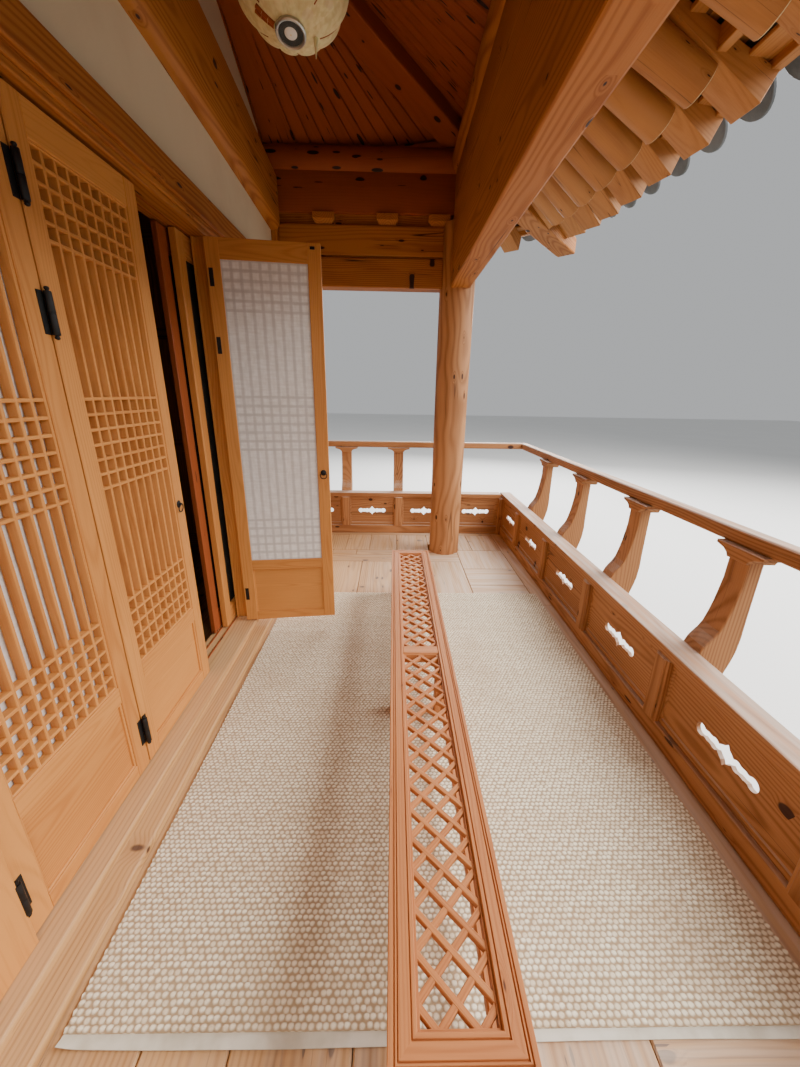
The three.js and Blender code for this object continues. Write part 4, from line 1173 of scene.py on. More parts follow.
def addIron():
    fixed, swinging = [], []
    plate, tall = hinge["plate"], hinge["knuckle"]
    turning = doorPlaces["swing"] @ moved(0.515, -0.011, 0)
    for z in hinge["heights"]:
        fixed += knuckles(-0.739, z) + knuckles(-0.221, z) + knuckles(0.82, z, "lower")
        for x in (-0.735, -0.217):
            fixed.append(boxed(plateEdge, (x, x - 0.004 + plate, -0.5322, -0.5298, z - tall, z + tall)))
        fixed.append(boxed(plateEdge, (-0.221 - plate, -0.225, -0.5322, -0.5298, z - tall, z + tall)))
        fixed.append(boxed(plateEdge, (0.826, 0.826 + plate, -0.5472, -0.5448, z - tall, z - 0.001)))
    for z in hinge["heights"]:
        swinging += knuckles(0.82, z, "upper")
        swinging.append(boxed(plateEdge, (-plate, -0.002, 0.0088, 0.0112, z + 0.001, z + tall), turning))
        swinging.append(boxed(plateEdge, (-0.031, -0.012, 0.0508, 0.0524, z - 0.012, z + 0.062), turning))
    # the latch at the leaf's top
    swinging.append(boxed(plateEdge, (-0.488, -0.466, 0.0508, 0.0545, 2.566, 2.578), turning))
    pull = turning @ moved(-0.484, 0.0512, 1.536) @ turned("Z", 180)
    for parts, place in ((fixed, moved(0.253, -0.5302, 1.507)), (swinging, pull)):
        parts += [placedPart(roseModel, place @ turned("X", 90)), placedPart(ringShape, place)]
    settle(buildPiece("fixedIron", fixed, ["blackIron"], 40), "house", "iron")
    settle(buildPiece("swingIron", swinging, ["blackIron"], 40), "swing_door", "iron")


plateEdge = blockModel(0.0006)
roseModel = turnedModel([(0.0155, 0), (0.0155, 0.0012), (0.0125, 0.003), (0.006, 0.0036), (0.0045, 0.0055),
                         (0.005, 0.0095), (0.003, 0.0118), (0.0008, 0.0122)], 20)
ringShape = ringModel()
addIron()
print("door leaves and ironwork ready")

# Glazed sliding door, a second sash behind it, and the tracks that they run on
slider = {"left": 0.69, "wide": 0.56, "front": -0.468, "thick": 0.03, "bottom": 0.666, "top": 2.6,
          "side": 0.07, "low": 0.106, "high": 0.09}


def sashBoxes(left, front, thick, top):
    side, bottom, right = slider["side"], slider["bottom"], left + slider["wide"]
    glassLow, glassHigh = bottom - 0.006 + slider["low"], top - slider["high"]
    bead = 0.009

    def across(inset, z0, z1, over=0.0):
        return (left + side - over, right - side + over, front + inset, front + thick - inset, z0, z1)

    boxes = [(x, x + side, front, front + thick, bottom, top) for x in (left, right - side)]
    boxes += [across(0.0008, bottom, glassLow, 0.001), across(0.0008, glassHigh, top, 0.001),
              across(0.005, glassLow, glassLow + bead), across(0.005, glassHigh - bead, glassHigh)]
    for x in (left + side, right - side - bead):
        boxes.append((x, x + bead, front + 0.0055, front + thick - 0.0055, glassLow, glassHigh))
    return boxes


def addInnerDoors():
    left = slider["left"]
    boxes = sashBoxes(left, slider["front"], slider["thick"], slider["top"])
    boxes.append((left + 0.02, left + 0.54, -0.458, -0.448, 0.6603, 0.668))
    settle(timbers("slidingSash", boxes, leafEdge, "doorPine"), "sliding_door", "pine", "inner_door")
    left, front = 0.62, -0.427
    settle(timbers("rearSash", sashBoxes(left, front, 0.024, 2.598), leafEdge, "ceilingPine"), "house",
           "dark_pine")
    glassBox = (left + 0.072, left + 0.488, front + 0.009, front + 0.015, 0.768, 2.506)
    settle(timbers("rearGlass", [glassBox], plateEdge, "darkGlass"), "house", "glass")
    tracks = [(-0.741, 0.821, y - 0.003, y + 0.003, z0, z1)
              for z0, z1 in ((0.659, 0.6645), (2.6035, 2.608)) for y in (-0.4735, -0.4325)]
    settle(timbers("doorTracks", tracks, plateEdge, "ceilingPine"), "house", "dark_pine")


addInnerDoors()

# Door frame: sill in two steps, a stepped lintel under a thick knotty timber, jambs beside the leaves
wallSpan = 2.0247
longEdge = blockModel(0.006, 2)
settle(timbers("doorSill", [(-wallSpan, wallSpan, -0.67, -0.395, 0.6003, 0.632),
                            (-wallSpan + 0.001, wallSpan - 0.001, -0.6005, -0.3955, 0.628, 0.66)],
               longEdge, "floorPine"), "house", "pine", "door_sill")
settle(timbers("doorLintel", [(-wallSpan, wallSpan, -0.548, -0.3955, 2.606, 2.632),
                              (-wallSpan, wallSpan, -0.5565, -0.395, 2.629, 2.654),
                              (-wallSpan, wallSpan, -0.575, -0.395, 2.651, 2.751)],
               longEdge, "beamPine"), "house", "pine", "door_lintel")
for side, x, lip in (("left", -0.852, 0.112), ("right", 0.822, -0.008)):
    jamb = [(x, x + 0.11, -0.545, -0.475, 0.6603, 2.6057),
            (x + lip, x + lip + 0.006, -0.488, -0.4755, 0.6603, 2.6057)]
    settle(timbers("jambPost_" + side, jamb, leafEdge, "doorPine"), "house", "pine", "jamb_" + side)


# Timber framing over the plaster: sole and head rails, mid rails and posts
def addFraming():
    boxes = []
    back = house["backLine"]

    def front(x0, x1, z0, z1, y=-0.551):
        boxes.append((x0, x1, y, -0.50, z0, z1))

    def behind(x0, x1, z0, z1, half=0.085):
        boxes.append((x0, x1, back - half, back + half, z0, z1))

    for sign, (x0, x1) in ((-1, (-wallSpan, -0.8525)), (1, (0.9325, wallSpan))):
        for z0, z1 in ((0.6605, 0.80), (1.52, 1.62), (2.52, 2.6055)):
            front(x0, x1, z0, z1)
        middle = (x0 + x1) / 2
        front(middle - 0.05, middle + 0.05, 0.80, 2.52, -0.5505)
        wall = sign * house["bay"]
        for z0, z1 in ((0.6005, 0.76), (1.46, 1.57), (2.30, 2.40), (2.95, 3.0995)):
            boxes.append((wall - 0.085, wall + 0.085, -0.3395, 1.7545, z0, z1))
        for y in (0.36, 1.06):
            boxes.append((wall - 0.084, wall + 0.084, y - 0.05, y + 0.05, 0.76, 2.95))
    for z0, z1 in ((0.6005, 0.76), (2.36, 2.47), (2.95, 3.0995)):
        behind(-wallSpan, wallSpan, z0, z1)
    behind(-wallSpan, -0.4805, 1.39, 1.5)
    behind(0.4805, wallSpan, 1.39, 1.5)
    for x in (-1.27, 1.27):
        behind(x - 0.05, x + 0.05, 0.76, 2.95, 0.084)
    behind(-0.57, -0.4805, 1.39, 2.365, 0.084)
    behind(0.4805, 0.57, 1.39, 2.365, 0.084)
    behind(-0.57, 0.57, 1.39, 1.4995, 0.0845)
    settle(timbers("wallTimbers", boxes, softEdge, "beamPine"), "house", "pine")


# Back window: two fixed lattice leaves
window = {"wide": 0.4797, "low": 1.5003, "high": 2.3597, "columns": 8, "rows": 16}


def addWindow():
    boxes = []
    back, low, high = house["backLine"], window["low"], window["high"]
    for left in (-window["wide"], 0.0):
        right = left + window["wide"]
        for x in (left, right - 0.05):
            boxes.append((x, x + 0.05, back - 0.025, back + 0.025, low, high))
        for z0, z1 in ((low, 1.556), (2.304, high)):
            boxes.append((left + 0.049, right - 0.049, back - 0.0245, back + 0.0245, z0, z1))
        for step in range(1, window["columns"]):
            x = left + 0.05 + step * (window["wide"] - 0.1) / window["columns"]
            boxes.append((x - 0.0045, x + 0.0045, back - 0.004, back + 0.019, 1.553, 2.307))
        for step in range(1, window["rows"]):
            z = 1.556 + step * 0.748 / window["rows"]
            boxes.append((left + 0.047, right - 0.047, back - 0.0035, back + 0.0185, z - 0.0045,
                          z + 0.0045))
    settle(timbers("backWindow", boxes, fineEdge, "doorPine"), "house", "pine", "window_back")
    papers = [(left + 0.046, left + 0.434, back - 0.0085, back - 0.006, 1.552, 2.308)
              for left in (-window["wide"], 0.0)]
    settle(timbers("backWindowPaper", papers, plateEdge, "limeMortar"), "house", "paper")


addFraming()
addWindow()
print("door wall ready")


# Curved log beam in the door wall, its long edges rounded off
wallBeam = {"front": -0.600, "back": -0.325, "lowEnd": 3.010, "lowMiddle": 3.090, "highEnd": 3.350,
            "highMiddle": 3.500, "round": 0.045, "cuts": 24}


def addWallBeam():
    plan = wallBeam
    deselectAll()
    bpy.ops.mesh.primitive_cube_add(size=1)
    beam = bpy.context.object
    beam.scale = (2 * wallSpan, plan["back"] - plan["front"], plan["highEnd"] - plan["lowEnd"])
    beam.location = (0, (plan["front"] + plan["back"]) / 2, (plan["lowEnd"] + plan["highEnd"]) / 2)
    applyMove()
    openShape("wallBeam")
    pick(beam, "EDGE", lambda edge: runAlong(beam, edge) > 1)
    bpy.ops.mesh.bevel(offset=plan["round"], segments=5, affect="EDGES")
    cutAcross(-wallSpan, wallSpan, plan["cuts"])
    closeShape()
    low, high = plan["lowEnd"], plan["highEnd"]
    for point in beam.data.vertices:
        bow = math.cos(point.co.x / wallSpan * math.pi / 2)
        share = (point.co.z - low) / (high - low)
        point.co.z += bow * ((1 - share) * (plan["lowMiddle"] - low) + share * (plan["highMiddle"] - high))
        point.co.y += 0.0012 * math.sin(point.co.x * 5 + point.co.z * 9)
    dressAlone(beam, "beamPine", shift=(7.3, 0.03, 0.05))
    smoothPiece(beam, 50)
    settle(beam, "house", "pine", "wall_beam")


addWallBeam()

# Beams between the columns: one thick timber in front; at each end a lintel, a second beam,
# bearing blocks and a plank behind them
frontBeam = {"inner": -1.810, "outer": -1.953, "low": 2.681, "top": 3.1, "half": 2.035}
endBeam = {"lintel": (2.681, 2.874), "second": (2.882, 3.073), "half": 0.065, "secondHalf": 0.058}
soro = {"low": 3.0725, "top": 3.1425, "foot": 0.055, "head": 0.0775, "places": (-0.894, -1.345, -1.796)}


def soroModel():
    bpy.ops.mesh.primitive_cube_add(size=2)
    shape = openShape("soroModel")
    bpy.ops.mesh.bevel(offset=0.04, affect="EDGES")
    selectAll()
    bpy.ops.mesh.bisect(plane_co=(0, 0, -0.1), plane_no=(0, 0, 1))
    closeShape()
    for point in shape.data.vertices:
        if point.co.z < -0.15:
            taper = soro["foot"] / soro["head"]
            point.co.x *= taper
            point.co.y *= taper
    return takeModel(shape)


def addBeams():
    half = frontBeam["half"]
    box = (-half, half, frontBeam["outer"], frontBeam["inner"], frontBeam["low"], frontBeam["top"])
    settle(timbers("frontBeam", [box], beamEdge, "beamPine"), "house", "pine", "beam_front")
    tall = soro["top"] - soro["low"]
    for side, sign in (("left", -1), ("right", 1)):
        x = sign * house["bay"]
        near, far = house["frontLine"] + 0.118, house["wallLine"] - house["postHalf"] - 0.0005
        boxes = [(endBeam["half"], *endBeam["lintel"], beamEdge),
                 (endBeam["secondHalf"], *endBeam["second"], beamEdge),
                 (0.045, endBeam["lintel"][1] - 0.004, endBeam["second"][0] + 0.004, softEdge),
                 (0.03, 3.07, 3.146, softEdge)]
        parts = [boxed(model, (x - half, x + half, near, far, z0, z1)) for half, z0, z1, model in boxes]
        for y in soro["places"]:
            if y < near:
                y = near + 0.04
            size = np.array((0.134 / 2, soro["head"], tall / 2))
            points = bearingBlock["points"] * size
            placed = points + (x, y, soro["low"] + tall / 2)
            parts.append((placed, points + pithAt(size), 0.4, bearingBlock))
        settle(buildPiece("endBeams_" + side, parts, ["beamPine"]), "house", "dark_pine", "beam_" + side)


beamEdge = blockModel(0.010, 2)
bearingBlock = soroModel()
addBeams()

# Round purlins on deep bearers, with wedges that rise towards the corners
purlin = {"mid": 3.45, "radius": 0.09, "bearerHalf": 0.055, "tail": 0.22, "reach": 1.2}


def cornerBend(s, d):
    return abs(s) ** 4 * max(0.0, 1 - d / roof["liftDepth"])


def deckHeight(s, d):
    return roof["deckEave"] + roof["deckSlope"] * d + roof["lift"] * cornerBend(s, d)


def tileHeight(s, d):
    plain = roof["tileEave"] + roof["tileSlope"] * d + roof["tileCurve"] * d * d
    return plain + roof["lift"] * cornerBend(s, d)


roof = {"halfX": 3.34, "halfY": 3.07, "verge": 1.65, "gable": 1.4, "deckEave": 3.2059, "deckSlope": 0.4,
        "tileEave": 3.4179, "tileSlope": 0.38, "tileCurve": 0.0725, "lift": 0.28, "out": 0.08,
        "liftDepth": 2.0, "fanApex": 2.615}
slopes = {"front": {"half": roof["halfX"], "reach": roof["halfY"], "turn": 0, "wide": roof["verge"]},
          "right": {"half": roof["halfY"], "reach": roof["halfX"], "turn": 90, "wide": 0},
          "back": {"half": roof["halfX"], "reach": roof["halfY"], "turn": 180, "wide": roof["verge"]},
          "left": {"half": roof["halfY"], "reach": roof["halfX"], "turn": -90, "wide": 0}}


# Point over one slope: s across it from -1 to 1, d in from the eave, turned to its side of the house
def slopePoint(side, s, d, height):
    half = max(side["wide"], side["half"] - d)
    out = roof["out"] * cornerBend(s, d)
    x, y = s * half + math.copysign(out, s), -(side["reach"] - d) - out
    turn = math.radians(side["turn"])
    return (x * math.cos(turn) - y * math.sin(turn), x * math.sin(turn) + y * math.cos(turn), height)


# The same from a place x along the eave
def overSlope(side, x, d, height, drop=0.0):
    s = max(-1.0, min(1.0, x / max(side["wide"], side["half"] - d)))
    return slopePoint(side, s, d, height(s, d) + drop)


def addPurlins():
    wedge = blockModel(0.02, 1, 12)

    # the wedges stand on the outer part of each half purlin
    def along(step):
        return 0.55 + 0.45 * step

    def rise(step):
        return roof["lift"] * cornerBend(along(step), purlin["reach"])

    for name, side in slopes.items():
        endwise = name in ("left", "right")
        reach, line = (house["backLine"], -house["bay"]) if endwise else (house["bay"], house["frontLine"])
        half, deep = reach + purlin["tail"], purlin["bearerHalf"]
        turn = turned("Z", side["turn"])
        mid = purlin["mid"] + (0.0 if endwise else 0.001)
        parts = [loggedPart(roundLog, turn @ Vector((-half, line, mid)), turn @ Vector((half, line, mid)),
                            purlin["radius"])]
        parts.append(boxed(beamEdge, (-half + 0.012, half - 0.012, line - deep, line + deep,
                                      3.1403 if endwise else 3.1003, 3.40), turn))
        if endwise:
            parts.append(boxed(softEdge, (house["wallLine"] + 0.12, half - 0.02, line - 0.05, line + 0.05,
                                          3.1003, 3.1407), turn))
        top = purlin["mid"] + purlin["radius"] - 0.032
        for sign in (-1, 1):
            def wedgePath(step):
                return tuple(turn @ Vector((sign * along(step) * reach, line, top - 0.03 + rise(step))))
            parts.append(bentTimber(wedge, 0.09, 0.06, wedgePath, lambda step: -rise(step)))
        wood = "ceilingPine" if endwise else "beamPine"
        settle(buildPiece("purlin_" + name + "_log", parts, [wood, "endGrain"], 35), "house", "dark_pine",
               "purlin_" + name)


addPurlins()

# Hip rafters on the diagonals, upturned towards the corners
hip = {"inner": 2.5, "outer": 0.04, "half": 0.09, "deep": 0.24, "drop": 0.036, "tipDrop": 0.06}


# The four corners: which way each lies along x, and along y from the front
corners = {"front_left": (-1, 1), "front_right": (1, 1), "back_left": (-1, -1), "back_right": (1, -1)}


# Where two slopes of the roof meet, over the front right corner
def hipLine(d):
    if d < 1.69:
        return slopePoint(slopes["front"], 1.0, d, 0)[:2]
    return roof["halfX"] - d, d - roof["halfY"]


def addHips():
    for name, (signX, signY) in corners.items():
        def hipPath(step):
            d = hip["inner"] + (hip["outer"] - hip["inner"]) * step
            x, y = hipLine(d)
            z = deckHeight(1, d) - hip["drop"] - hip["tipDrop"] * max(0, 1 - d / roof["liftDepth"])
            return signX * x, signY * y, z - hip["deep"] / 2
        part = bentTimber(hipModel, 2 * hip["half"], hip["deep"], hipPath,
                          lambda step: 0.105 * max(0.0, (step - 0.62) / 0.38) ** 1.5)
        settle(buildPiece("hipRafter_" + name, [part], ["beamPine", "ceilingPine"]), "house", "dark_pine",
               "hip_rafter_" + name)


hipModel = blockModel(0.012, 2, 16)
# their inner part, under the ceiling, takes the planks' darker wood: painted shade for the shadow gap there
hipModel["slots"] = [int(hipModel["points"][list(face), 0].mean() < 0.1) for face in hipModel["faces"]]
addHips()
print("beams, purlins and hip rafters ready")

# Round rafters with pale sawn ends, squared flying rafters over them, eave laths and deck boards
rafter = {"radius": 0.078, "tip": 0.37, "flyTip": 0.115, "tipDrop": 0.062, "parallelEnd": 1.21,
          "fanEnd": 1.2, "flyWide": 0.150, "flyTall": 0.125, "flyEnd": 0.66, "boardWide": 0.142,
          "boardGap": 0.004}


# Each line is its place along the eave, its place at the inner end, and how far in that end lies
def rafterLines(side, endwise):
    places = (-0.33, 0.0, 0.33) if endwise else (-0.5, -0.17, 0.17, 0.5)
    lines = [(x, x, rafter["parallelEnd"]) for x in places]
    first, count = (0.8, 7) if endwise else (0.9, 8)
    inward = side["half"] - roof["fanApex"]
    share = rafter["fanEnd"] / roof["fanApex"]
    for index in range(count):
        edge = first + (side["half"] - 0.12 - first) * index / (count - 1)
        for sign in (-1, 1):
            lines.append((sign * edge, sign * (edge + (inward - edge) * share), rafter["fanEnd"]))
    return lines


def addRafters():
    parts = []
    radius = rafter["radius"]
    for name, side in slopes.items():
        endwise = name in ("left", "right")
        for eaveX, innerX, innerD in rafterLines(side, endwise):
            def at(d, drop):
                return Vector(overSlope(side, eaveX + (innerX - eaveX) * d / innerD, d, deckHeight, drop))
            start = at(rafter["tip"], -radius * 1.08 - rafter["tipDrop"])
            parts.append(loggedPart(rafterLog, start, at(innerD, -radius * 1.08), radius * 0.97,
                                    radius * 1.03))
            place, length = alongLine(at(rafter["flyTip"], -rafter["flyTall"] * 0.56),
                                      at(rafter["flyEnd"], -0.02))
            points = fitted(flyModel["points"], (length, rafter["flyWide"], rafter["flyTall"]))
            # the inner end is thinner, under the deck
            points[:, 2] *= np.where(points[:, 0] > 0, 0.35, 1.0)
            parts.append((carried(points, place), points + pithAt((length, 0.1, 0.1)), anyTone(), flyModel))
        for row in range(17 if endwise else 20):
            d = rafter["flyTip"] - 0.02 + row * rafter["boardWide"]

            def boardPath(step):
                s = (2 * step - 1) * (0.83 if side["wide"] and d > 1.6 else 1.0)
                middle = d + rafter["boardWide"] / 2
                return slopePoint(side, s, min(middle, 2.99), deckHeight(s, middle) + 0.012)
            parts.append(bentTimber(deckModel, rafter["boardWide"] - rafter["boardGap"], 0.02, boardPath))
        for d, rise, wide, tall in ((0.10, 0.024, 0.05, 0.06), (0.355, -0.026, 0.045, 0.085)):
            def lathPath(step):
                s = 2 * step - 1
                return slopePoint(side, s * 0.995, d, deckHeight(s, d) + rise)
            parts.append(bentTimber(deckModel, wide, tall, lathPath))
    settle(buildPiece("eaveTimbers", parts, ["eavePine", "endGrain"], 35), "house", "pine", "rafter_roof")


rafterLog, flyModel, deckModel = logModel(20), blockModel(0.004), blockModel(0.003, 1, 22)
# slot 1 is the outer end
flyModel["slots"] = [int(flyModel["points"][list(face), 0].max() < -0.999) for face in flyModel["faces"]]
addRafters()
print("rafters ready")

# Corner ceilings: wedge planks that radiate from the fan's apex, with open joints between them
ceiling = {"outer": 1.15, "inner": 2.49, "drop": 0.176, "thick": 0.02, "joint": 0.006, "rows": 9}


def addCeiling():
    parts = []
    for name, side in slopes.items():
        lines = sorted(rafterLines(side, name in ("left", "right")))
        inward = side["half"] - roof["fanApex"]
        for sign in (-1, 1):
            eaves = sorted(abs(x) for x, _, end in lines if end == rafter["fanEnd"] and x * sign > 0)
            edges = [(a + b) / 2 for a, b in zip(eaves, eaves[1:])]
            edges = [2 * eaves[0] - edges[0]] + edges + [side["half"] + 0.06]
            halves = [place for a, b in zip(edges, edges[1:]) for place in (a, (a + b) / 2)] + edges[-1:]
            parts += [wedgePlank(side, sign, left, right, inward)
                      for left, right in zip(halves, halves[1:])]
        straight = [x for x, _, end in lines if end != rafter["fanEnd"]]
        first, last = straight[0] - 0.3, straight[-1] + 0.3
        count = round((last - first) / 0.13)
        reach = [first + (last - first) * index / count for index in range(count + 1)]
        parts += [wedgePlank(side, 1, left, right, None) for left, right in zip(reach, reach[1:])]
    settle(buildPiece("ceilingPlanks", parts, ["ceilingPine"]), "house", "dark_pine")


# One tapering plank between two lines along the slope, its joints open by a few millimetres
def wedgePlank(side, sign, left, right, inward):
    outer, inner, rows = ceiling["outer"], ceiling["inner"], ceiling["rows"]
    points, grain = [], []
    lie = pithAt((1.4, 0.15, 0.02))
    for row in range(rows + 1):
        d = outer + (inner - outer) * row / rows
        share = 0 if inward is None else d / roof["fanApex"]
        x0, x1 = (edge + ((inward or 0) - edge) * share for edge in (left, right))
        half = max((x1 - x0) / 2 - ceiling["joint"] / 2, 0.002)
        middle = (x0 + x1) / 2
        ease = 0.004 if half >= 0.0045 else 0.0
        for aside, drop in ((-half, 0.004), (-half + ease, 0.0), (half - ease, 0.0), (half, 0.004),
                            (half, ceiling["thick"]), (-half, ceiling["thick"])):
            points.append(overSlope(side, sign * (middle + aside), d, deckHeight, drop - ceiling["drop"]))
            grain.append((d * 1.077, aside, drop))
    model = faceModel(tubeFaces(rows, 6))
    return np.array(points), np.array(grain) + lie, anyTone(), model if sign < 0 else turnedOver(model)


# Faces of a closed bar made of rings of points, one after the other
def tubeFaces(rows, ring):
    faces = []
    for row in range(rows):
        for corner in range(ring):
            a, b = row * ring + corner, row * ring + (corner + 1) % ring
            faces.append((a, b, b + ring, a + ring))
    last = rows * ring
    return faces + [tuple(range(ring))[::-1], tuple(range(last, last + ring))]


addCeiling()
print("ceiling ready")

# Roof tiles: trough tiles between rows of half-round cover tiles, on a closed bed
tile = {"pitch": 0.30, "coverStep": 0.30, "coverRadius": 0.076, "coverTaper": 0.9, "coverLift": -0.016,
        "troughStep": 0.155, "troughLong": 0.2, "troughHalf": 0.14, "troughDeep": 0.045,
        "troughThick": 0.016, "troughLift": 0.018, "overhang": 0.05, "bedTop": 0.045, "bedLow": 0.168}


def coverModel():
    deselectAll()
    bpy.ops.mesh.primitive_cylinder_add(vertices=16, radius=1, depth=1, rotation=(0, math.pi / 2, 0))
    applyMove()
    shape = openShape("coverModel")
    bpy.ops.mesh.bisect(plane_co=(0, 0, -0.25), plane_no=(0, 0, -1), clear_outer=True, use_fill=True)
    evenNormals()
    closeShape()
    for point in shape.data.vertices:
        if point.co.x > 0:
            point.co.y *= tile["coverTaper"]
            point.co.z *= tile["coverTaper"]
    return takeModel(shape)


# A shallow curved tile, hollow side up
def troughModel():
    shape = slab("troughModel", 1, 6, 2)
    for point in shape.data.vertices:
        sag = 1 - point.co.y ** 2
        thick = tile["troughThick"] * (point.co.z > 0.5)
        point.co = Vector((point.co.x * 0.5, point.co.y * tile["troughHalf"],
                           thick - tile["troughDeep"] * sag))
    return takeModel(shape)


# The rounded plate that hangs from the lowest trough tile
def dripModel():
    half, deep = tile["troughHalf"] * 0.88, tile["troughDeep"]
    outline = [(-half * math.cos(math.pi * step / 14), -0.048 - 0.13 * math.sin(math.pi * step / 14))
               for step in range(15)]
    outline += [(half * share, 0.022 - deep * (1 - (0.88 * share) ** 2))
                for share in (1, 0.6, 0.2, -0.2, -0.6, -1)]
    plate = outlineModel(outline, 0.018, 0.003)
    plate["points"][:, 0] += 0.36 * plate["points"][:, 2]
    return plate


def tilePart(model, side, x, d, length, drop, sizes, tilt=0.0):
    here = Vector(overSlope(side, x, d, tileHeight, drop + tilt))
    above = Vector(overSlope(side, x, d + length, tileHeight, drop))
    beside = Vector(overSlope(side, x + 0.01, d, tileHeight, drop + tilt))
    ahead = (above - here).normalized()
    up = ahead.cross((beside - here).normalized())
    up = -up if up.z < 0 else up
    across = up.cross(ahead)
    centre = (here + above) / 2
    points = model["points"] * np.array(sizes)
    matrix = np.array((ahead, across, up)).T
    shift = np.array([chance.uniform(0, 60), chance.uniform(0, 9), 0])
    return points @ matrix.T + np.array(centre), points + shift, anyTone(), model


def slopeTop(side, x, endwise):
    if endwise:
        return min(roof["halfX"] - roof["gable"] - 0.05, side["half"] - abs(x))
    return side["reach"] if abs(x) < roof["verge"] else side["half"] - abs(x)


def addTiles():
    parts = []
    for name, side in slopes.items():
        endwise = name in ("left", "right")
        rows = int(side["half"] / tile["pitch"]) + 1
        for index in range(-rows, rows + 1):
            x = (index + 0.5) * tile["pitch"]
            if abs(x) < side["half"] - 0.06:
                top, d = slopeTop(side, x, endwise), -0.03
                while d < top - 0.05:
                    length = min(tile["coverStep"], top - d)
                    parts.append(tilePart(coverTile, side, x, max(d, 0.0), length, tile["coverLift"],
                                          (length * 1.04, tile["coverRadius"], tile["coverRadius"]), 0.006))
                    d += tile["coverStep"]
            x = index * tile["pitch"]
            if abs(x) < side["half"] - 0.1:
                top, d = slopeTop(side, x, endwise), -tile["overhang"]
                parts.append(tilePart(dripTile, side, x, d, 0.018, tile["troughLift"], (1, 1, 1), 0.012))
                while d < top - 0.08:
                    parts.append(tilePart(troughTile, side, x, d, tile["troughLong"], tile["troughLift"],
                                          (tile["troughLong"], 1, 1), 0.012))
                    d += tile["troughStep"]
        parts.append(bedPart(side, endwise))
    settle(buildPiece("roofTiling", parts, ["roofClay"], 35), "house", "roof_tile", "roof_tiles")


# Closed bed of clay under the tiles of one slope
def bedPart(side, endwise):
    rows, columns, low, least = 12, 24, 0.055, 1.39
    top = roof["halfX"] - roof["gable"] - 0.05 if endwise else side["reach"]
    points, faces = [], []
    for drop in (-tile["bedTop"], -tile["bedLow"]):
        for row in range(rows + 1):
            d = low + (top - low) * row / rows
            narrow = endwise and side["half"] - d < least
            for column in range(columns + 1):
                s = math.sin((column / columns - 0.5) * math.pi * 0.96) / math.sin(math.pi * 0.48)
                flat = {**side, "half": least + d} if narrow else side
                points.append(slopePoint(flat, s, d, tileHeight(0 if narrow else s, d) + drop))
    ring = columns + 1
    under = (rows + 1) * ring
    for row in range(rows):
        for column in range(columns):
            a = row * ring + column
            faces.append((a, a + 1, a + ring + 1, a + ring))
            faces.append((under + a, under + a + ring, under + a + ring + 1, under + a + 1))
        left, right = row * ring, row * ring + columns
        faces.append((left, left + ring, under + left + ring, under + left))
        faces.append((right, under + right, under + right + ring, right + ring))
    last = rows * ring
    for column in range(columns):
        faces.append((column, under + column, under + column + 1, column + 1))
        faces.append((last + column, last + column + 1, under + last + column + 1, under + last + column))
    points = np.array(points)
    return points, points, 0.3, faceModel(faces)


coverTile, troughTile, dripTile = coverModel(), troughModel(), dripModel()
addTiles()
print("tiles ready")

# Ridges: thin courses of tiles laid in turn wide and narrow, a cover row on top, lime at the ends
ridge = {"course": 0.034, "joint": 0.006, "wide": 0.21, "cornerWide": 0.175, "mainCourses": 8,
         "cornerCourses": 5, "capRadius": 0.082}


def ridgeParts(path, length, courses, bedDeep, wide):
    def lifted(height):
        return lambda step: tuple(np.array(path(step)) + np.array((0, 0, height)))

    course = ridge["course"]
    parts = [bentTimber(ridgeModel, wide - 0.05, bedDeep + courses * course,
                        lifted(courses * course / 2 - bedDeep / 2))]
    for index in range(courses):
        parts.append(bentTimber(ridgeModel, wide if index % 2 else wide - 0.025, course - ridge["joint"],
                                lifted((index + 0.5) * course)))
    count = max(2, round(length / 0.3))
    top = courses * course - 0.012
    for index in range(count):
        start = Vector(path(index / count)) + Vector((0, 0, top + 0.004))
        end = Vector(path((index + 1) / count)) + Vector((0, 0, top))
        place, run = alongLine(start, end)
        points = coverTile["points"] * np.array((run * 1.03, ridge["capRadius"], ridge["capRadius"]))
        parts.append((carried(points, place), points + chance.uniform(0, 30), anyTone(), coverTile))
    return parts


def mortarPart(point, ahead, courses, wide):
    tall = courses * ridge["course"]
    place, _ = alongLine(Vector(point), Vector(point) + Vector(ahead))
    place.translation = Vector(point) + Vector((0, 0, tall / 2))
    return withSlot(timber(softEdge, (0.03, wide * 0.62, tall * 0.86), place), 1)


def addRidge(name, parts, replaced):
    settle(buildPiece(name, parts, ["roofClay", "limeMortar"], 35), "house", "roof_tile", replaced)


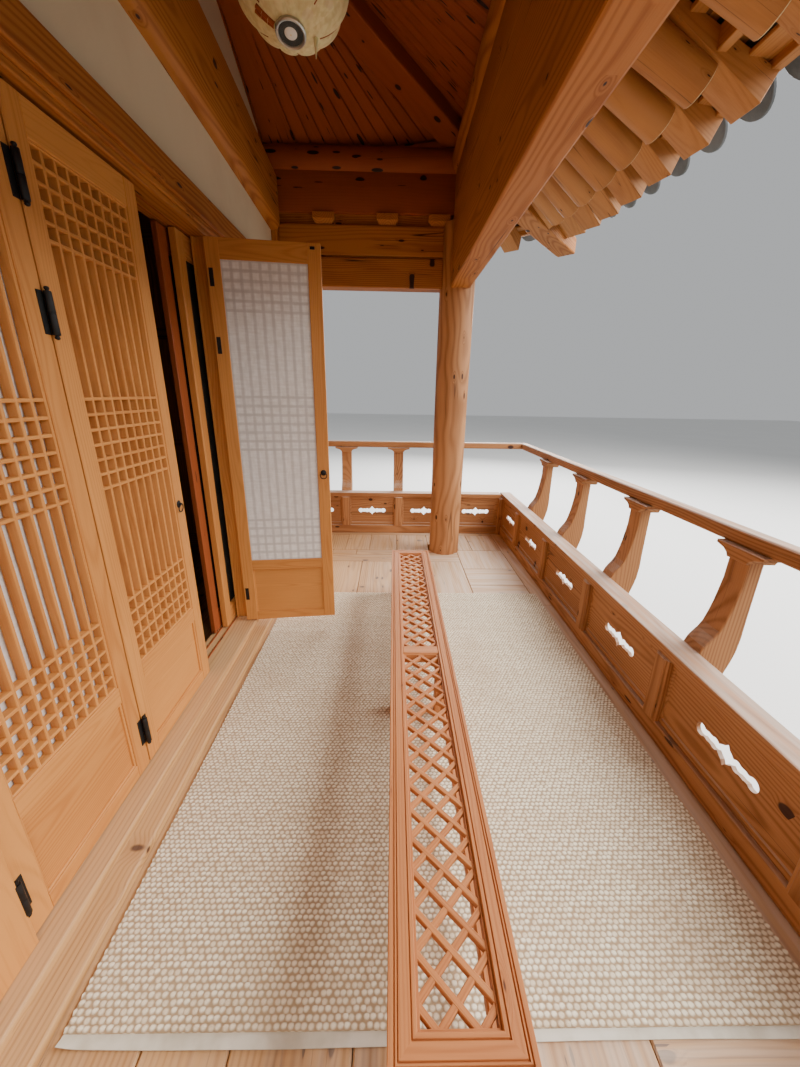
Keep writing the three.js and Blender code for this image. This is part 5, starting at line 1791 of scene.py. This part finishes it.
def addRidges():
    top, end = tileHeight(0, roof["halfY"]), roof["verge"] - 0.005

    def mainPath(step):
        x = end * (2 * step - 1)
        return x, 0.0, top + 0.09 * abs(x / roof["verge"]) ** 3

    courses, wide = ridge["mainCourses"], ridge["wide"]
    parts = ridgeParts(mainPath, 2 * end, courses, 0.11, wide)
    for step, ahead in ((0.0, (-1, 0, 0)), (1.0, (1, 0, 0))):
        parts.append(mortarPart(np.array(mainPath(step)) + np.array(ahead) * 0.004, ahead, courses, wide))
    addRidge("mainRidge", parts, "ridge_main")
    courses, wide = ridge["cornerCourses"], ridge["cornerWide"]
    vergeX = roof["verge"] - 0.095
    turnD = roof["halfX"] - vergeX
    for name, (signX, signY) in corners.items():
        def vergePath(step):
            d = 2.88 + (turnD - 2.88) * step
            return signX * vergeX, -signY * (roof["halfY"] - d), tileHeight(0, d) - 0.01

        def hipPath(step):
            d = turnD + 0.05 + (0.22 - turnD - 0.05) * step
            s = min(1.0, 0.95 + 0.05 * step) if d > 1.6 else 1.0
            x, y = hipLine(d)
            return signX * x, signY * y, tileHeight(s, d) - 0.01
        parts = ridgeParts(vergePath, 1.2, courses, 0.1, wide)
        parts += ridgeParts(hipPath, 2.1, courses, 0.1, wide)
        tip = np.array(hipPath(1.0))
        ahead = tip - np.array(hipPath(0.95))
        parts.append(mortarPart(tip + ahead * 0.03, tuple(ahead * np.array((1, 1, 0))), courses, wide))
        addRidge("cornerRidge_" + name, parts, "ridge_" + name)


ridgeModel = blockModel(0.004, 1, 14)
addRidges()

# Gables: upright planks, curved bargeboards and the ends of three roof timbers
gable = {"wall": 1.401, "thick": 0.03, "board": 1.56, "boardThick": 0.04, "boardTall": 0.2, "planks": 0.15,
         "stubRadius": 0.072, "stubs": (0.0, -0.43, 0.43)}


def vergeUnder(y):
    return tileHeight(0, roof["halfY"] - abs(y)) - 0.173


# How far from the middle the boards' lower edge comes down to a height
def vergeReach(height):
    reach = 0.0
    while vergeUnder(reach) > height:
        reach += 0.005
    return reach


def addGables():
    foot = tileHeight(0, roof["halfX"] - roof["gable"]) - 0.02
    reach, low = vergeReach(foot), vergeReach(foot - 0.04)
    count = int(2 * reach / gable["planks"])
    for side, sign in (("left", -1), ("right", 1)):
        parts = []
        inner, outer = gable["wall"], gable["wall"] + gable["thick"]
        for index in range(count):
            y0, y1 = (-reach + 2 * reach * place / count for place in (index, index + 1))
            middle, top = (y0 + y1) / 2, min(vergeUnder(y0), vergeUnder(y1))
            points, grain, tone, model = boxed(softEdge, (*sorted((sign * inner, sign * outer)), y0 + 0.001,
                                                          y1 - 0.001, foot, max(top, foot + 0.02)))
            # the upper end is cut along the slope
            slant = (vergeUnder(y1) - vergeUnder(y0)) / (y1 - y0)
            high = points[:, 2] > foot + 0.01
            edge = vergeUnder(middle) + slant * (points[:, 1] - middle)
            below = points[high, 2].max() - points[high, 2]
            points[high, 2] = np.maximum(edge[high], foot + 0.012) - below
            parts.append((points, grain, tone, model))
        parts.append(boxed(softEdge, (*sorted((sign * outer, sign * (outer + 0.045))), -reach + 0.02,
                                      reach - 0.02, foot - 0.14, foot + 0.055)))
        for bottom in (-low, low):
            def boardPath(step):
                y = bottom * (1 - step)
                return (sign * (gable["board"] + gable["boardThick"] / 2), y,
                        vergeUnder(y) - gable["boardTall"] / 2)
            parts.append(bentTimber(boardModel, gable["boardThick"], gable["boardTall"], boardPath))
        for y in gable["stubs"]:
            z = vergeUnder(y) - 0.1
            parts.append(loggedPart(rafterLog, (sign * 1.42, y, z), (sign * 1.582, y, z),
                                    gable["stubRadius"]))
        settle(buildPiece("gable_" + side + "_boards", parts, ["eavePine", "endGrain"], 35), "house",
               "pine", "gable_" + side)


boardModel = blockModel(0.004, 1, 10)
addGables()
print("ridges and gables ready")

# Railing, in a frame of its own: x along the run, y outwards from the panels' inner face, z from the ground
rail = {"panelThick": 0.04, "capOver": 0.058, "capTop": 1.013, "handTop": 1.49, "handOut": 0.225,
        "handHalf": 0.032, "handTall": 0.058, "divider": 0.042, "bracketThick": 0.096, "frontPitch": 0.69,
        "endPitch": 0.52, "cutHalf": 0.135, "cutHeight": 0.828, "panelLow": 0.678, "panelTop": 0.972,
        "outline": [(0.036, 0.08), (0.095, 0.105), (0.16, 0.19), (0.189, 0.25), (0.211, 0.31),
                    (0.228, 0.37), (0.238, 0.42), (0.242, 0.48), (0.240, 0.56), (0.239, 0.68),
                    (0.239, 0.80), (0.183, 0.80), (0.182, 0.70), (0.176, 0.65), (0.169, 0.60),
                    (0.160, 0.555), (0.148, 0.51), (0.134, 0.483), (0.118, 0.462), (0.104, 0.441),
                    (0.094, 0.414), (0.036, 0.40)],
        "saddle": [(-0.045, 0), (0.045, 0), (0.052, 0.013), (0.070, 0.026), (0.108, 0.036),
                   (0.108, 0.048), (-0.108, 0.048), (-0.108, 0.036), (-0.070, 0.026), (-0.052, 0.013)]}


# Long opening of overlapping rounds, with a small point above and below its middle
def cutterOutline():
    rounds = ((0.0, 0.031), (0.048, 0.022), (0.078, 0.019), (0.112, 0.023))
    upper = []
    for index in range(41):
        x = rail["cutHalf"] * math.cos(math.pi * index / 40)
        high = max(math.sqrt(max(0.0, radius ** 2 - (abs(x) - centre) ** 2)) for centre, radius in rounds)
        upper.append((x, high + 0.014 * max(0.0, 1 - abs(x) / 0.009)))
    return upper + [(x, -high) for x, high in upper[-2:0:-1]]


def panelPart(x0, x1, cut):
    size, spot = span(x0, x1, 0.0115, rail["panelThick"] - 0.003, rail["panelLow"] - 0.004,
                      rail["panelTop"])
    deselectAll()
    bpy.ops.mesh.primitive_cube_add(size=1)
    panel = bpy.context.object
    panel.scale = size
    panel.location = spot.translation
    applyMove()
    openShape("railPanel")
    pick(panel, "FACE", lambda face: abs(face.normal.y) > 0.9)
    bpy.ops.mesh.inset(thickness=0.03, use_individual=True)
    bpy.ops.mesh.inset(thickness=0.005, depth=-0.005, use_individual=True)
    closeShape()
    if cut is not None:
        middle = rail["cutHeight"]
        cutter = outlineFace(cutOutline, lambda across, high: (cut + across, -0.05, middle + high))
        openShape("railCutter")
        thicken(0, 0.15, 0)
        closeShape()
        chooseOnly(panel)
        hole = panel.modifiers.new("cutOut", "BOOLEAN")
        hole.object = cutter
        bpy.ops.object.modifier_apply(modifier="cutOut")
        bpy.data.objects.remove(cutter)
    model = takeModel(panel)
    local = model["points"] - np.array(spot.translation)
    grain = local[:, (0, 2, 1)] + pithAt((size[0], size[2], size[1]))
    return model["points"], grain, anyTone(), model


def railParts(start, end, over, dividers, brackets, cuts, handStart, handEnd):
    thick, cap, hand = rail["panelThick"], rail["capTop"], rail["handOut"]
    low, handLow = house["floorTop"] + 0.0003, rail["handTop"] - rail["handTall"]
    parts = [boxed(railEdge, (start - over, end + over, -0.006, thick + rail["capOver"], cap - 0.042, cap)),
             boxed(railEdge, (start + 0.001, end - 0.001, -0.008, thick + 0.008, low, 0.682)),
             boxed(handEdge, (handStart, handEnd, hand - rail["handHalf"], hand + rail["handHalf"], handLow,
                              rail["handTop"]))]
    for x in dividers:
        half = rail["divider"]
        parts.append(boxed(softEdge, (x - half, x + half, -0.010, thick + 0.008, low + 0.075, cap - 0.040)))
        parts.append(boxed(softEdge, (x - 0.030, x + 0.030, -0.0165, -0.008, low + 0.079, cap - 0.042)))
    for x in brackets:
        points = bracketModel["points"]
        grain = np.roll(points, 1, axis=1) + pithAt((0.8, 0.2, 0.08))
        parts.append((points + (x, 0, house["floorTop"]), grain, anyTone(), bracketModel))
        saddle = saddleModel["points"][:, (1, 0, 2)]
        parts.append((saddle + (x, hand, handLow - 0.0475), saddle + pithAt((0.2, 0.1, 0.05)), anyTone(),
                      turnedOver(saddleModel)))
    stops = [start] + list(dividers) + [end]
    for x0, x1 in zip(stops, stops[1:]):
        if x1 - x0 > 0.2:
            cut = [x for x in cuts if x0 < x < x1]
            parts.append(panelPart(x0 + 0.02, x1 - 0.02, cut[0] if cut else None))
        elif x1 - x0 > 0.05:
            parts.append(boxed(softEdge, (x0 + 0.01, x1 - 0.01, 0.012, thick - 0.004, rail["panelLow"],
                                          rail["panelTop"])))
    return parts


def addRailings():
    pitch, railEnd, inner = rail["frontPitch"], house["railEnd"], house["railInner"]
    dividers = [index * pitch for index in range(-3, 4)]
    bays = [(index + 0.5) * pitch for index in range(-3, 3)]
    bays += [-(3 * pitch + railEnd) / 2, (3 * pitch + railEnd) / 2]
    handHalf = railEnd + rail["handOut"] - rail["handHalf"] - 0.0003
    # the front run is built facing outwards, then mirrored over to the front
    parts = railParts(-railEnd - 0.04, railEnd + 0.04, rail["capOver"],
                      [-railEnd - 0.01] + dividers + [railEnd + 0.01], dividers, bays, -handHalf, handHalf)
    front = [(points * (1, -1, 1) + (0, inner, 0), grain, tone, turnedOver(model))
             for points, grain, tone, model in parts]
    for sign in (-1, 1):
        ends = sorted((sign * (railEnd - 0.035), sign * (railEnd + 0.0535)))
        front.append(boxed(softEdge, (*ends, inner - 0.0495, inner + 0.042, house["floorTop"] + 0.001,
                                      rail["capTop"] - 0.04)))
    settle(buildPiece("frontRailing", front, ["railPine"]), "house", "weathered_pine", "railing_front")
    back, pitch = house["railBack"], rail["endPitch"]
    length = back - inner
    dividers = [pitch, 2 * pitch, 3 * pitch]
    for side, sign in (("right", 1), ("left", -1)):
        parts = railParts(0.0172, length, 0, dividers + [length - 0.042], dividers + [length - 0.11],
                          [(index + 0.5) * pitch for index in range(4)],
                          -rail["handOut"] - rail["handHalf"], length)
        run = []
        for points, grain, tone, model in parts:
            placed = np.column_stack((sign * (railEnd + points[:, 1]), inner + points[:, 0], points[:, 2]))
            run.append((placed, grain, tone, turnedOver(model) if sign > 0 else model))
        ends = sorted((sign * (house["bay"] + 0.1153), sign * (railEnd + 0.012)))
        for limits in ((back - 0.0395, back - 0.002, 0.6003, 0.990), (back - 0.062, back, 0.971, 1.0125)):
            run.append(boxed(softEdge, (*ends, *limits)))
        settle(buildPiece("endRailing_" + side, run, ["railPine"]), "house", "weathered_pine",
               "railing_" + side)


railEdge, handEdge, cutOutline = blockModel(0.006, 2), blockModel(0.012, 3), cutterOutline()
bracketModel = outlineModel(rail["outline"], rail["bracketThick"], 0.004)
saddleModel = outlineModel(rail["saddle"], 0.110, 0.002)
addRailings()
print("railings ready")

# Long bench: a grooved frame with mitred ends over two lattice panels, on short square legs
bench = {"x": (-1.057, 1.253), "y": (-1.65, -1.40), "top": 0.93, "deep": 0.06, "rim": 0.052,
         "barWide": 0.0125, "barTop": 0.922, "barLow": 0.907, "cell": 0.0735, "leg": 0.028, "foot": 0.6127,
         "grooves": (0.010, 0.016, 0.040)}


# Outline of a frame side, with three fine grooves along its top
def rimOutline():
    wide, deep = bench["rim"], bench["deep"]
    outline = [(0, 0.002), (0.0015, 0)]
    for groove in bench["grooves"]:
        outline += [(groove, 0), (groove + 0.0012, 0.0035), (groove + 0.0024, 0.0035), (groove + 0.0036, 0)]
    return outline + [(wide - 0.002, 0), (wide, 0.002), (wide, deep), (0, deep)]


# Frame side from start to end, cut at 45 degrees; its outer face at outer, the rest inwards by sign
def rimPart(start, end, outer, sign):
    outline = rimOutline()
    points, grain = [], []
    lie = pithAt((2.0, bench["rim"], bench["deep"]))
    for place, lean in ((start, 1), (end, -1)):
        for across, drop in outline:
            along = place + lean * across
            points.append((along, outer + sign * across, bench["top"] - drop))
            grain.append((along, across, drop))
    model = faceModel(tubeFaces(1, len(outline)))
    return (np.array(points), np.array(grain) + lie, chance.uniform(-0.4, 0.4),
            turnedOver(model) if sign > 0 else model)


# Diagonal bars over one lattice panel, rising across it by lean and cut off at its ends
def latticeBars(left, right, inner0, inner1, lean, low, high):
    parts = []
    wide, middle = inner1 - inner0, (low + high) / 2
    start = left - wide + bench["cell"] * 0.5
    while start < right:
        x0, x1 = start, start + wide
        y0, y1 = (inner0, inner1) if lean > 0 else (inner1, inner0)
        if x0 < left:
            y0 += (left - x0) * (y1 - y0) / (x1 - x0)
            x0 = left
        if x1 > right:
            y1 -= (x1 - right) * (y1 - y0) / (x1 - x0)
            x1 = right
        if x1 - x0 > 0.01:
            grow = Vector((x1 - x0, y1 - y0, 0)).normalized() * 0.006
            place, length = alongLine(Vector((x0, y0, middle)) - grow, Vector((x1, y1, middle)) + grow)
            parts.append(timber(fineEdge, (length, bench["barWide"], high - low), place))
        start += bench["cell"]
    return parts


def addBench():
    (x0, x1), (y0, y1) = bench["x"], bench["y"]
    top, rim, half = bench["top"], bench["rim"], bench["leg"]
    parts = [rimPart(x0, x1, y0, 1), rimPart(x0, x1, y1, -1)]
    for start, sign in ((x0, 1), (x1, -1)):
        points, grain, tone, model = rimPart(y0, y1, 0, 1)
        placed = np.column_stack((start + sign * points[:, 1], points[:, 0], points[:, 2]))
        parts.append((placed, grain, tone, turnedOver(model) if sign > 0 else model))
    middle, inner0, inner1 = (x0 + x1) / 2, y0 + rim, y1 - rim
    parts.append(boxed(softEdge, (middle - 0.026, middle + 0.026, inner0 - 0.002, inner1 + 0.002,
                                  top - 0.05, top - 0.002)))
    for left, right in ((x0 + rim, middle - 0.026), (middle + 0.026, x1 - rim)):
        # the second set of bars is halved into the first
        for lean, inset in ((1, 0.0), (-1, 0.0006)):
            parts += latticeBars(left, right, inner0, inner1, lean, bench["barLow"] + inset,
                                 bench["barTop"] - inset)
        for y in (inner0, inner1 - 0.005):
            parts.append(boxed(plateEdge, (left, right, y, y + 0.005, 0.902, 0.9235)))
        for x in (left, right - 0.005):
            parts.append(boxed(plateEdge, (x, x + 0.005, inner0, inner1, 0.9025, 0.923)))
    for x in (x0 + 0.03, middle, x1 - 0.03):
        for y in (y0 + 0.03, y1 - 0.03):
            parts.append(boxed(softEdge, (x - half, x + half, y - half, y + half, bench["foot"],
                                          top - 0.058)))
    for y in (y0 + 0.018, y1 - 0.040):
        parts.append(boxed(softEdge, (x0 + 0.05, x1 - 0.05, y, y + 0.022, 0.70, 0.735)))
    settle(buildPiece("latticeBench", parts, ["benchPine"]), "house", "pine", "bench")


addBench()
print("bench ready")

# Looped jute rug: rows of knots in a closed slab, with a flat cotton hem at one end
rug = {"x": (-0.878, 1.2525), "y": (-2.4255, -0.6905), "low": 0.6006, "bed": 0.6045, "loop": 0.0065,
       "rowStep": 0.0135, "pitch": 0.016, "hem": 0.022, "hemThick": 0.0022}


def addRug():
    (x0, x1), (y0, y1) = rug["x"], rug["y"]
    across, along = round((y1 - y0) / rug["pitch"] * 2), round((x1 - x0) / rug["rowStep"] * 2)
    mat = slab("juteRug", along, across)
    for point in mat.data.vertices:
        x, y = x0 + (point.co.x + 0.5) * (x1 - x0), y0 + (point.co.y + 0.5) * (y1 - y0)
        z = rug["low"]
        if point.co.z > 0.5:
            row = (x - x0) / rug["rowStep"]
            column = (y - y0) / rug["pitch"] + 0.5 * (math.floor(row) % 2)
            knot = abs(math.sin(math.pi * row) * math.sin(math.pi * column)) ** 0.5
            worn = 0.82 + 0.18 * math.sin(17 * x + 5 * y) * math.sin(11 * y - 3 * x)
            z = rug["bed"] + rug["loop"] * knot * worn
        wander = 0.0022 * math.sin(5.1 * x) * (abs(point.co.y) * 2) ** 6
        point.co = (x, y + wander * math.copysign(0.5, point.co.y), z)
    mat.data.materials.append(finishes["wovenJute"])
    smoothPiece(mat, 60)
    return settle(mat, "house", "jute", "rug")


# The hem: a folded strip that lifts a little at its corner
def addHem():
    x1 = rug["x"][0] + 0.003
    x0 = x1 - rug["hem"] - 0.003
    y0, y1 = rug["y"]
    strip = slab("rugHem", 6, 90)
    for point in strip.data.vertices:
        u, v, isTop = point.co.x + 0.5, point.co.y + 0.5, point.co.z > 0.5
        x = x0 + u * (x1 - x0) + 0.0035 * math.sin(6.2 * v) * (1 - u)
        curl = 0.010 * (1 - u) * max(0.0, (v - 0.965) / 0.035) ** 2
        ripple = 0.0006 * (1 + math.sin(41 * v)) * (1 - u)
        stitch = 0.0006 if isTop and 0.4 < u < 0.6 else 0
        z = rug["low"] + curl + ripple + (rug["hemThick"] if isTop else 0) - stitch
        point.co = (x, y0 + v * (y1 - y0), z)
    strip.data.materials.append(finishes["cottonHem"])
    smoothPiece(strip, 50)
    return settle(strip, "house", "jute")


mat, strip = addRug(), addHem()
print("rug ready")

# Paper lantern: ribbed gores with dark cords in the seams, a steel ring and a bulb below
lantern = {"x": 0.395, "y": -1.07, "low": 2.988, "tall": 0.318, "radius": 0.182, "gores": 12,
           "ceiling": 3.95, "tilt": 13}


def lanternRadius(share):
    return lantern["radius"] * max(0.0, math.sin(math.pi * share)) ** 0.6


# Point on the lantern's paper: turn round it, share of its height, and how much of its radius
def lanternPoint(turn, share, radius):
    return (lantern["x"] + radius * math.cos(turn), lantern["y"] + radius * math.sin(turn),
            lantern["low"] + lantern["tall"] * share)


def cordRun(spots, radius, overlap=0.0):
    spots = [Vector(spot) for spot in spots]
    return [loggedPart(cordModel, start - (end - start) * overlap, end, radius)
            for start, end in zip(spots, spots[1:])]


def addShade(askew):
    deselectAll()
    bpy.ops.mesh.primitive_uv_sphere_add(segments=96, ring_count=36, radius=1)
    shade = bpy.context.object
    shade.name = "lanternShade"
    for point in shade.data.vertices:
        share = min(1.0, max(0.0, math.acos(max(-1.0, min(1.0, -point.co.z))) / math.pi))
        turn = math.atan2(point.co.y, point.co.x)
        gore = abs(math.sin(turn * lantern["gores"] / 2))
        radius = max(0.0005, lanternRadius(share) * (0.925 + 0.07 * gore ** 0.6))
        point.co = lanternPoint(turn, share, radius)
    shade.data.transform(askew)
    shade.data.materials.append(finishes["lanternPaper"])
    smoothPiece(shade, 60)
    settle(shade, "house", "lantern", "lamp")


# A cord in every second seam, a strap beside the ring and a twist of paper below
def addCords(askew):
    parts = []
    for gore in range(0, lantern["gores"], 2):
        turn = 2 * math.pi * gore / lantern["gores"]
        parts += cordRun([lanternPoint(turn, step / 24, lanternRadius(step / 24) * 0.925 + 0.0004)
                          for step in range(3, 22)], 0.0022, 0.08)
    for turn in (1.83, 1.97):
        spots = [lanternPoint(turn, share, lanternRadius(share)) for share in (0.035, 0.06, 0.09, 0.125)]
        parts += cordRun([(x, y, z - 0.001) for x, y, z in spots], 0.006)
    twist = Vector((lantern["x"] + 0.03, lantern["y"] - 0.072, lantern["low"] + 0.022))
    tip = twist + Vector((0.004, 0.0, -0.055))
    parts.append(withSlot(loggedPart(cordModel, twist, tip, 0.0075, 0.001), 1))
    cords = buildPiece("lanternCords", parts, ["ceilingPine", "lanternPaper"], 50)
    cords.data.transform(askew)
    settle(cords, "house", "lantern")


def addLantern():
    x, y, low, top = lantern["x"], lantern["y"], lantern["low"], lantern["ceiling"]
    high = low + lantern["tall"]
    # it hangs a little askew from its top
    hook = moved(x, y, high)
    askew = hook @ turned("Y", lantern["tilt"]) @ hook.inverted()
    foot = askew @ moved(x, y, low + 0.0002)
    addShade(askew)
    addCords(askew)
    metal = [placedPart(turnedModel([(0.0365, 0.006), (0.039, 0.0005), (0.043, -0.001), (0.047, 0.002),
                                     (0.047, 0.009), (0.044, 0.012)], 48), foot)]
    rod = turnedModel([(0.005, 0), (0.005, 0.6)], 16)
    metal.append((rod["points"] * (1, 1, (top - high + 0.03) / 0.6) + (x, y, high - 0.03), rod["points"],
                  0.0, rod))
    rose = turnedModel([(0.012, -0.05), (0.03, -0.045), (0.042, -0.03), (0.042, -0.016), (0.040, 0.02)], 32)
    metal.append(placedPart(rose, moved(x, y, top - 0.005)))
    collar = turnedModel([(0.018, 0.0), (0.022, 0.004), (0.022, 0.014), (0.010, 0.022), (0.0055, 0.03)], 24)
    metal.append(placedPart(collar, moved(x, y, high - 0.010)))
    settle(buildPiece("lanternMetal", metal, ["ringSteel"], 40), "house", "iron")
    # a flat dark disc just inside the ring stands in for the shade in the lantern's hollow: painted shade
    shadow = turnedModel([(0.0372, 0.0038), (0.0372, 0.0052)], 32)
    settle(buildPiece("lanternShadowDisc", [placedPart(shadow, foot)], ["darkGlass"]), "house", "dark_pine")
    bulb = turnedModel([(0.004, -0.0025), (0.012, -0.0018), (0.018, 0.0), (0.020, 0.0015), (0.021, 0.003)],
                       32)
    bulbPart = placedPart(bulb, askew @ moved(x, y, low + 0.003))
    settle(buildPiece("lanternBulb", [bulbPart], ["frostedBulb"], 60), "house", "glass")


cordModel = logModel(8)
addLantern()
print("lantern ready")

# Carried-over solids: plaster panels and the sliding door's glass
plain = {"wall_left": "plaster", "wall_right": "plaster", "wall_back": "plaster",
         "front_wall_left": "plaster", "front_wall_right": "plaster", "upper_wall": "plaster",
         "attic_wall": "plaster", "inner_glass": "darkGlass"}
for name, finish in plain.items():
    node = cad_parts[name]
    node.data.materials.clear()
    node.data.materials.append(finishes[finish])


# Pale studio floor, which isn't part of the house
def addStudioFloor():
    deselectAll()
    bpy.ops.mesh.primitive_plane_add(size=studio["floorSize"], location=(0, 0, -0.002))
    applyMove()
    ground = bpy.context.object
    ground.name = "studioFloor"
    material, shader = startMaterial("paleFloor", {"Roughness": 0.9})
    pale = blendColour(noise(objectPlace(), (0.6, 0.6, 0.6), 3.0), (0.74, 0.74, 0.73), (0.68, 0.68, 0.67))
    seen = put("ShaderNodeLightPath").outputs["Is Camera Ray"]
    wire(blendColour(seen, (0.24, 0.25, 0.24), pale), shader["Base Color"])
    ground.data.materials.append(material)


addStudioFloor()
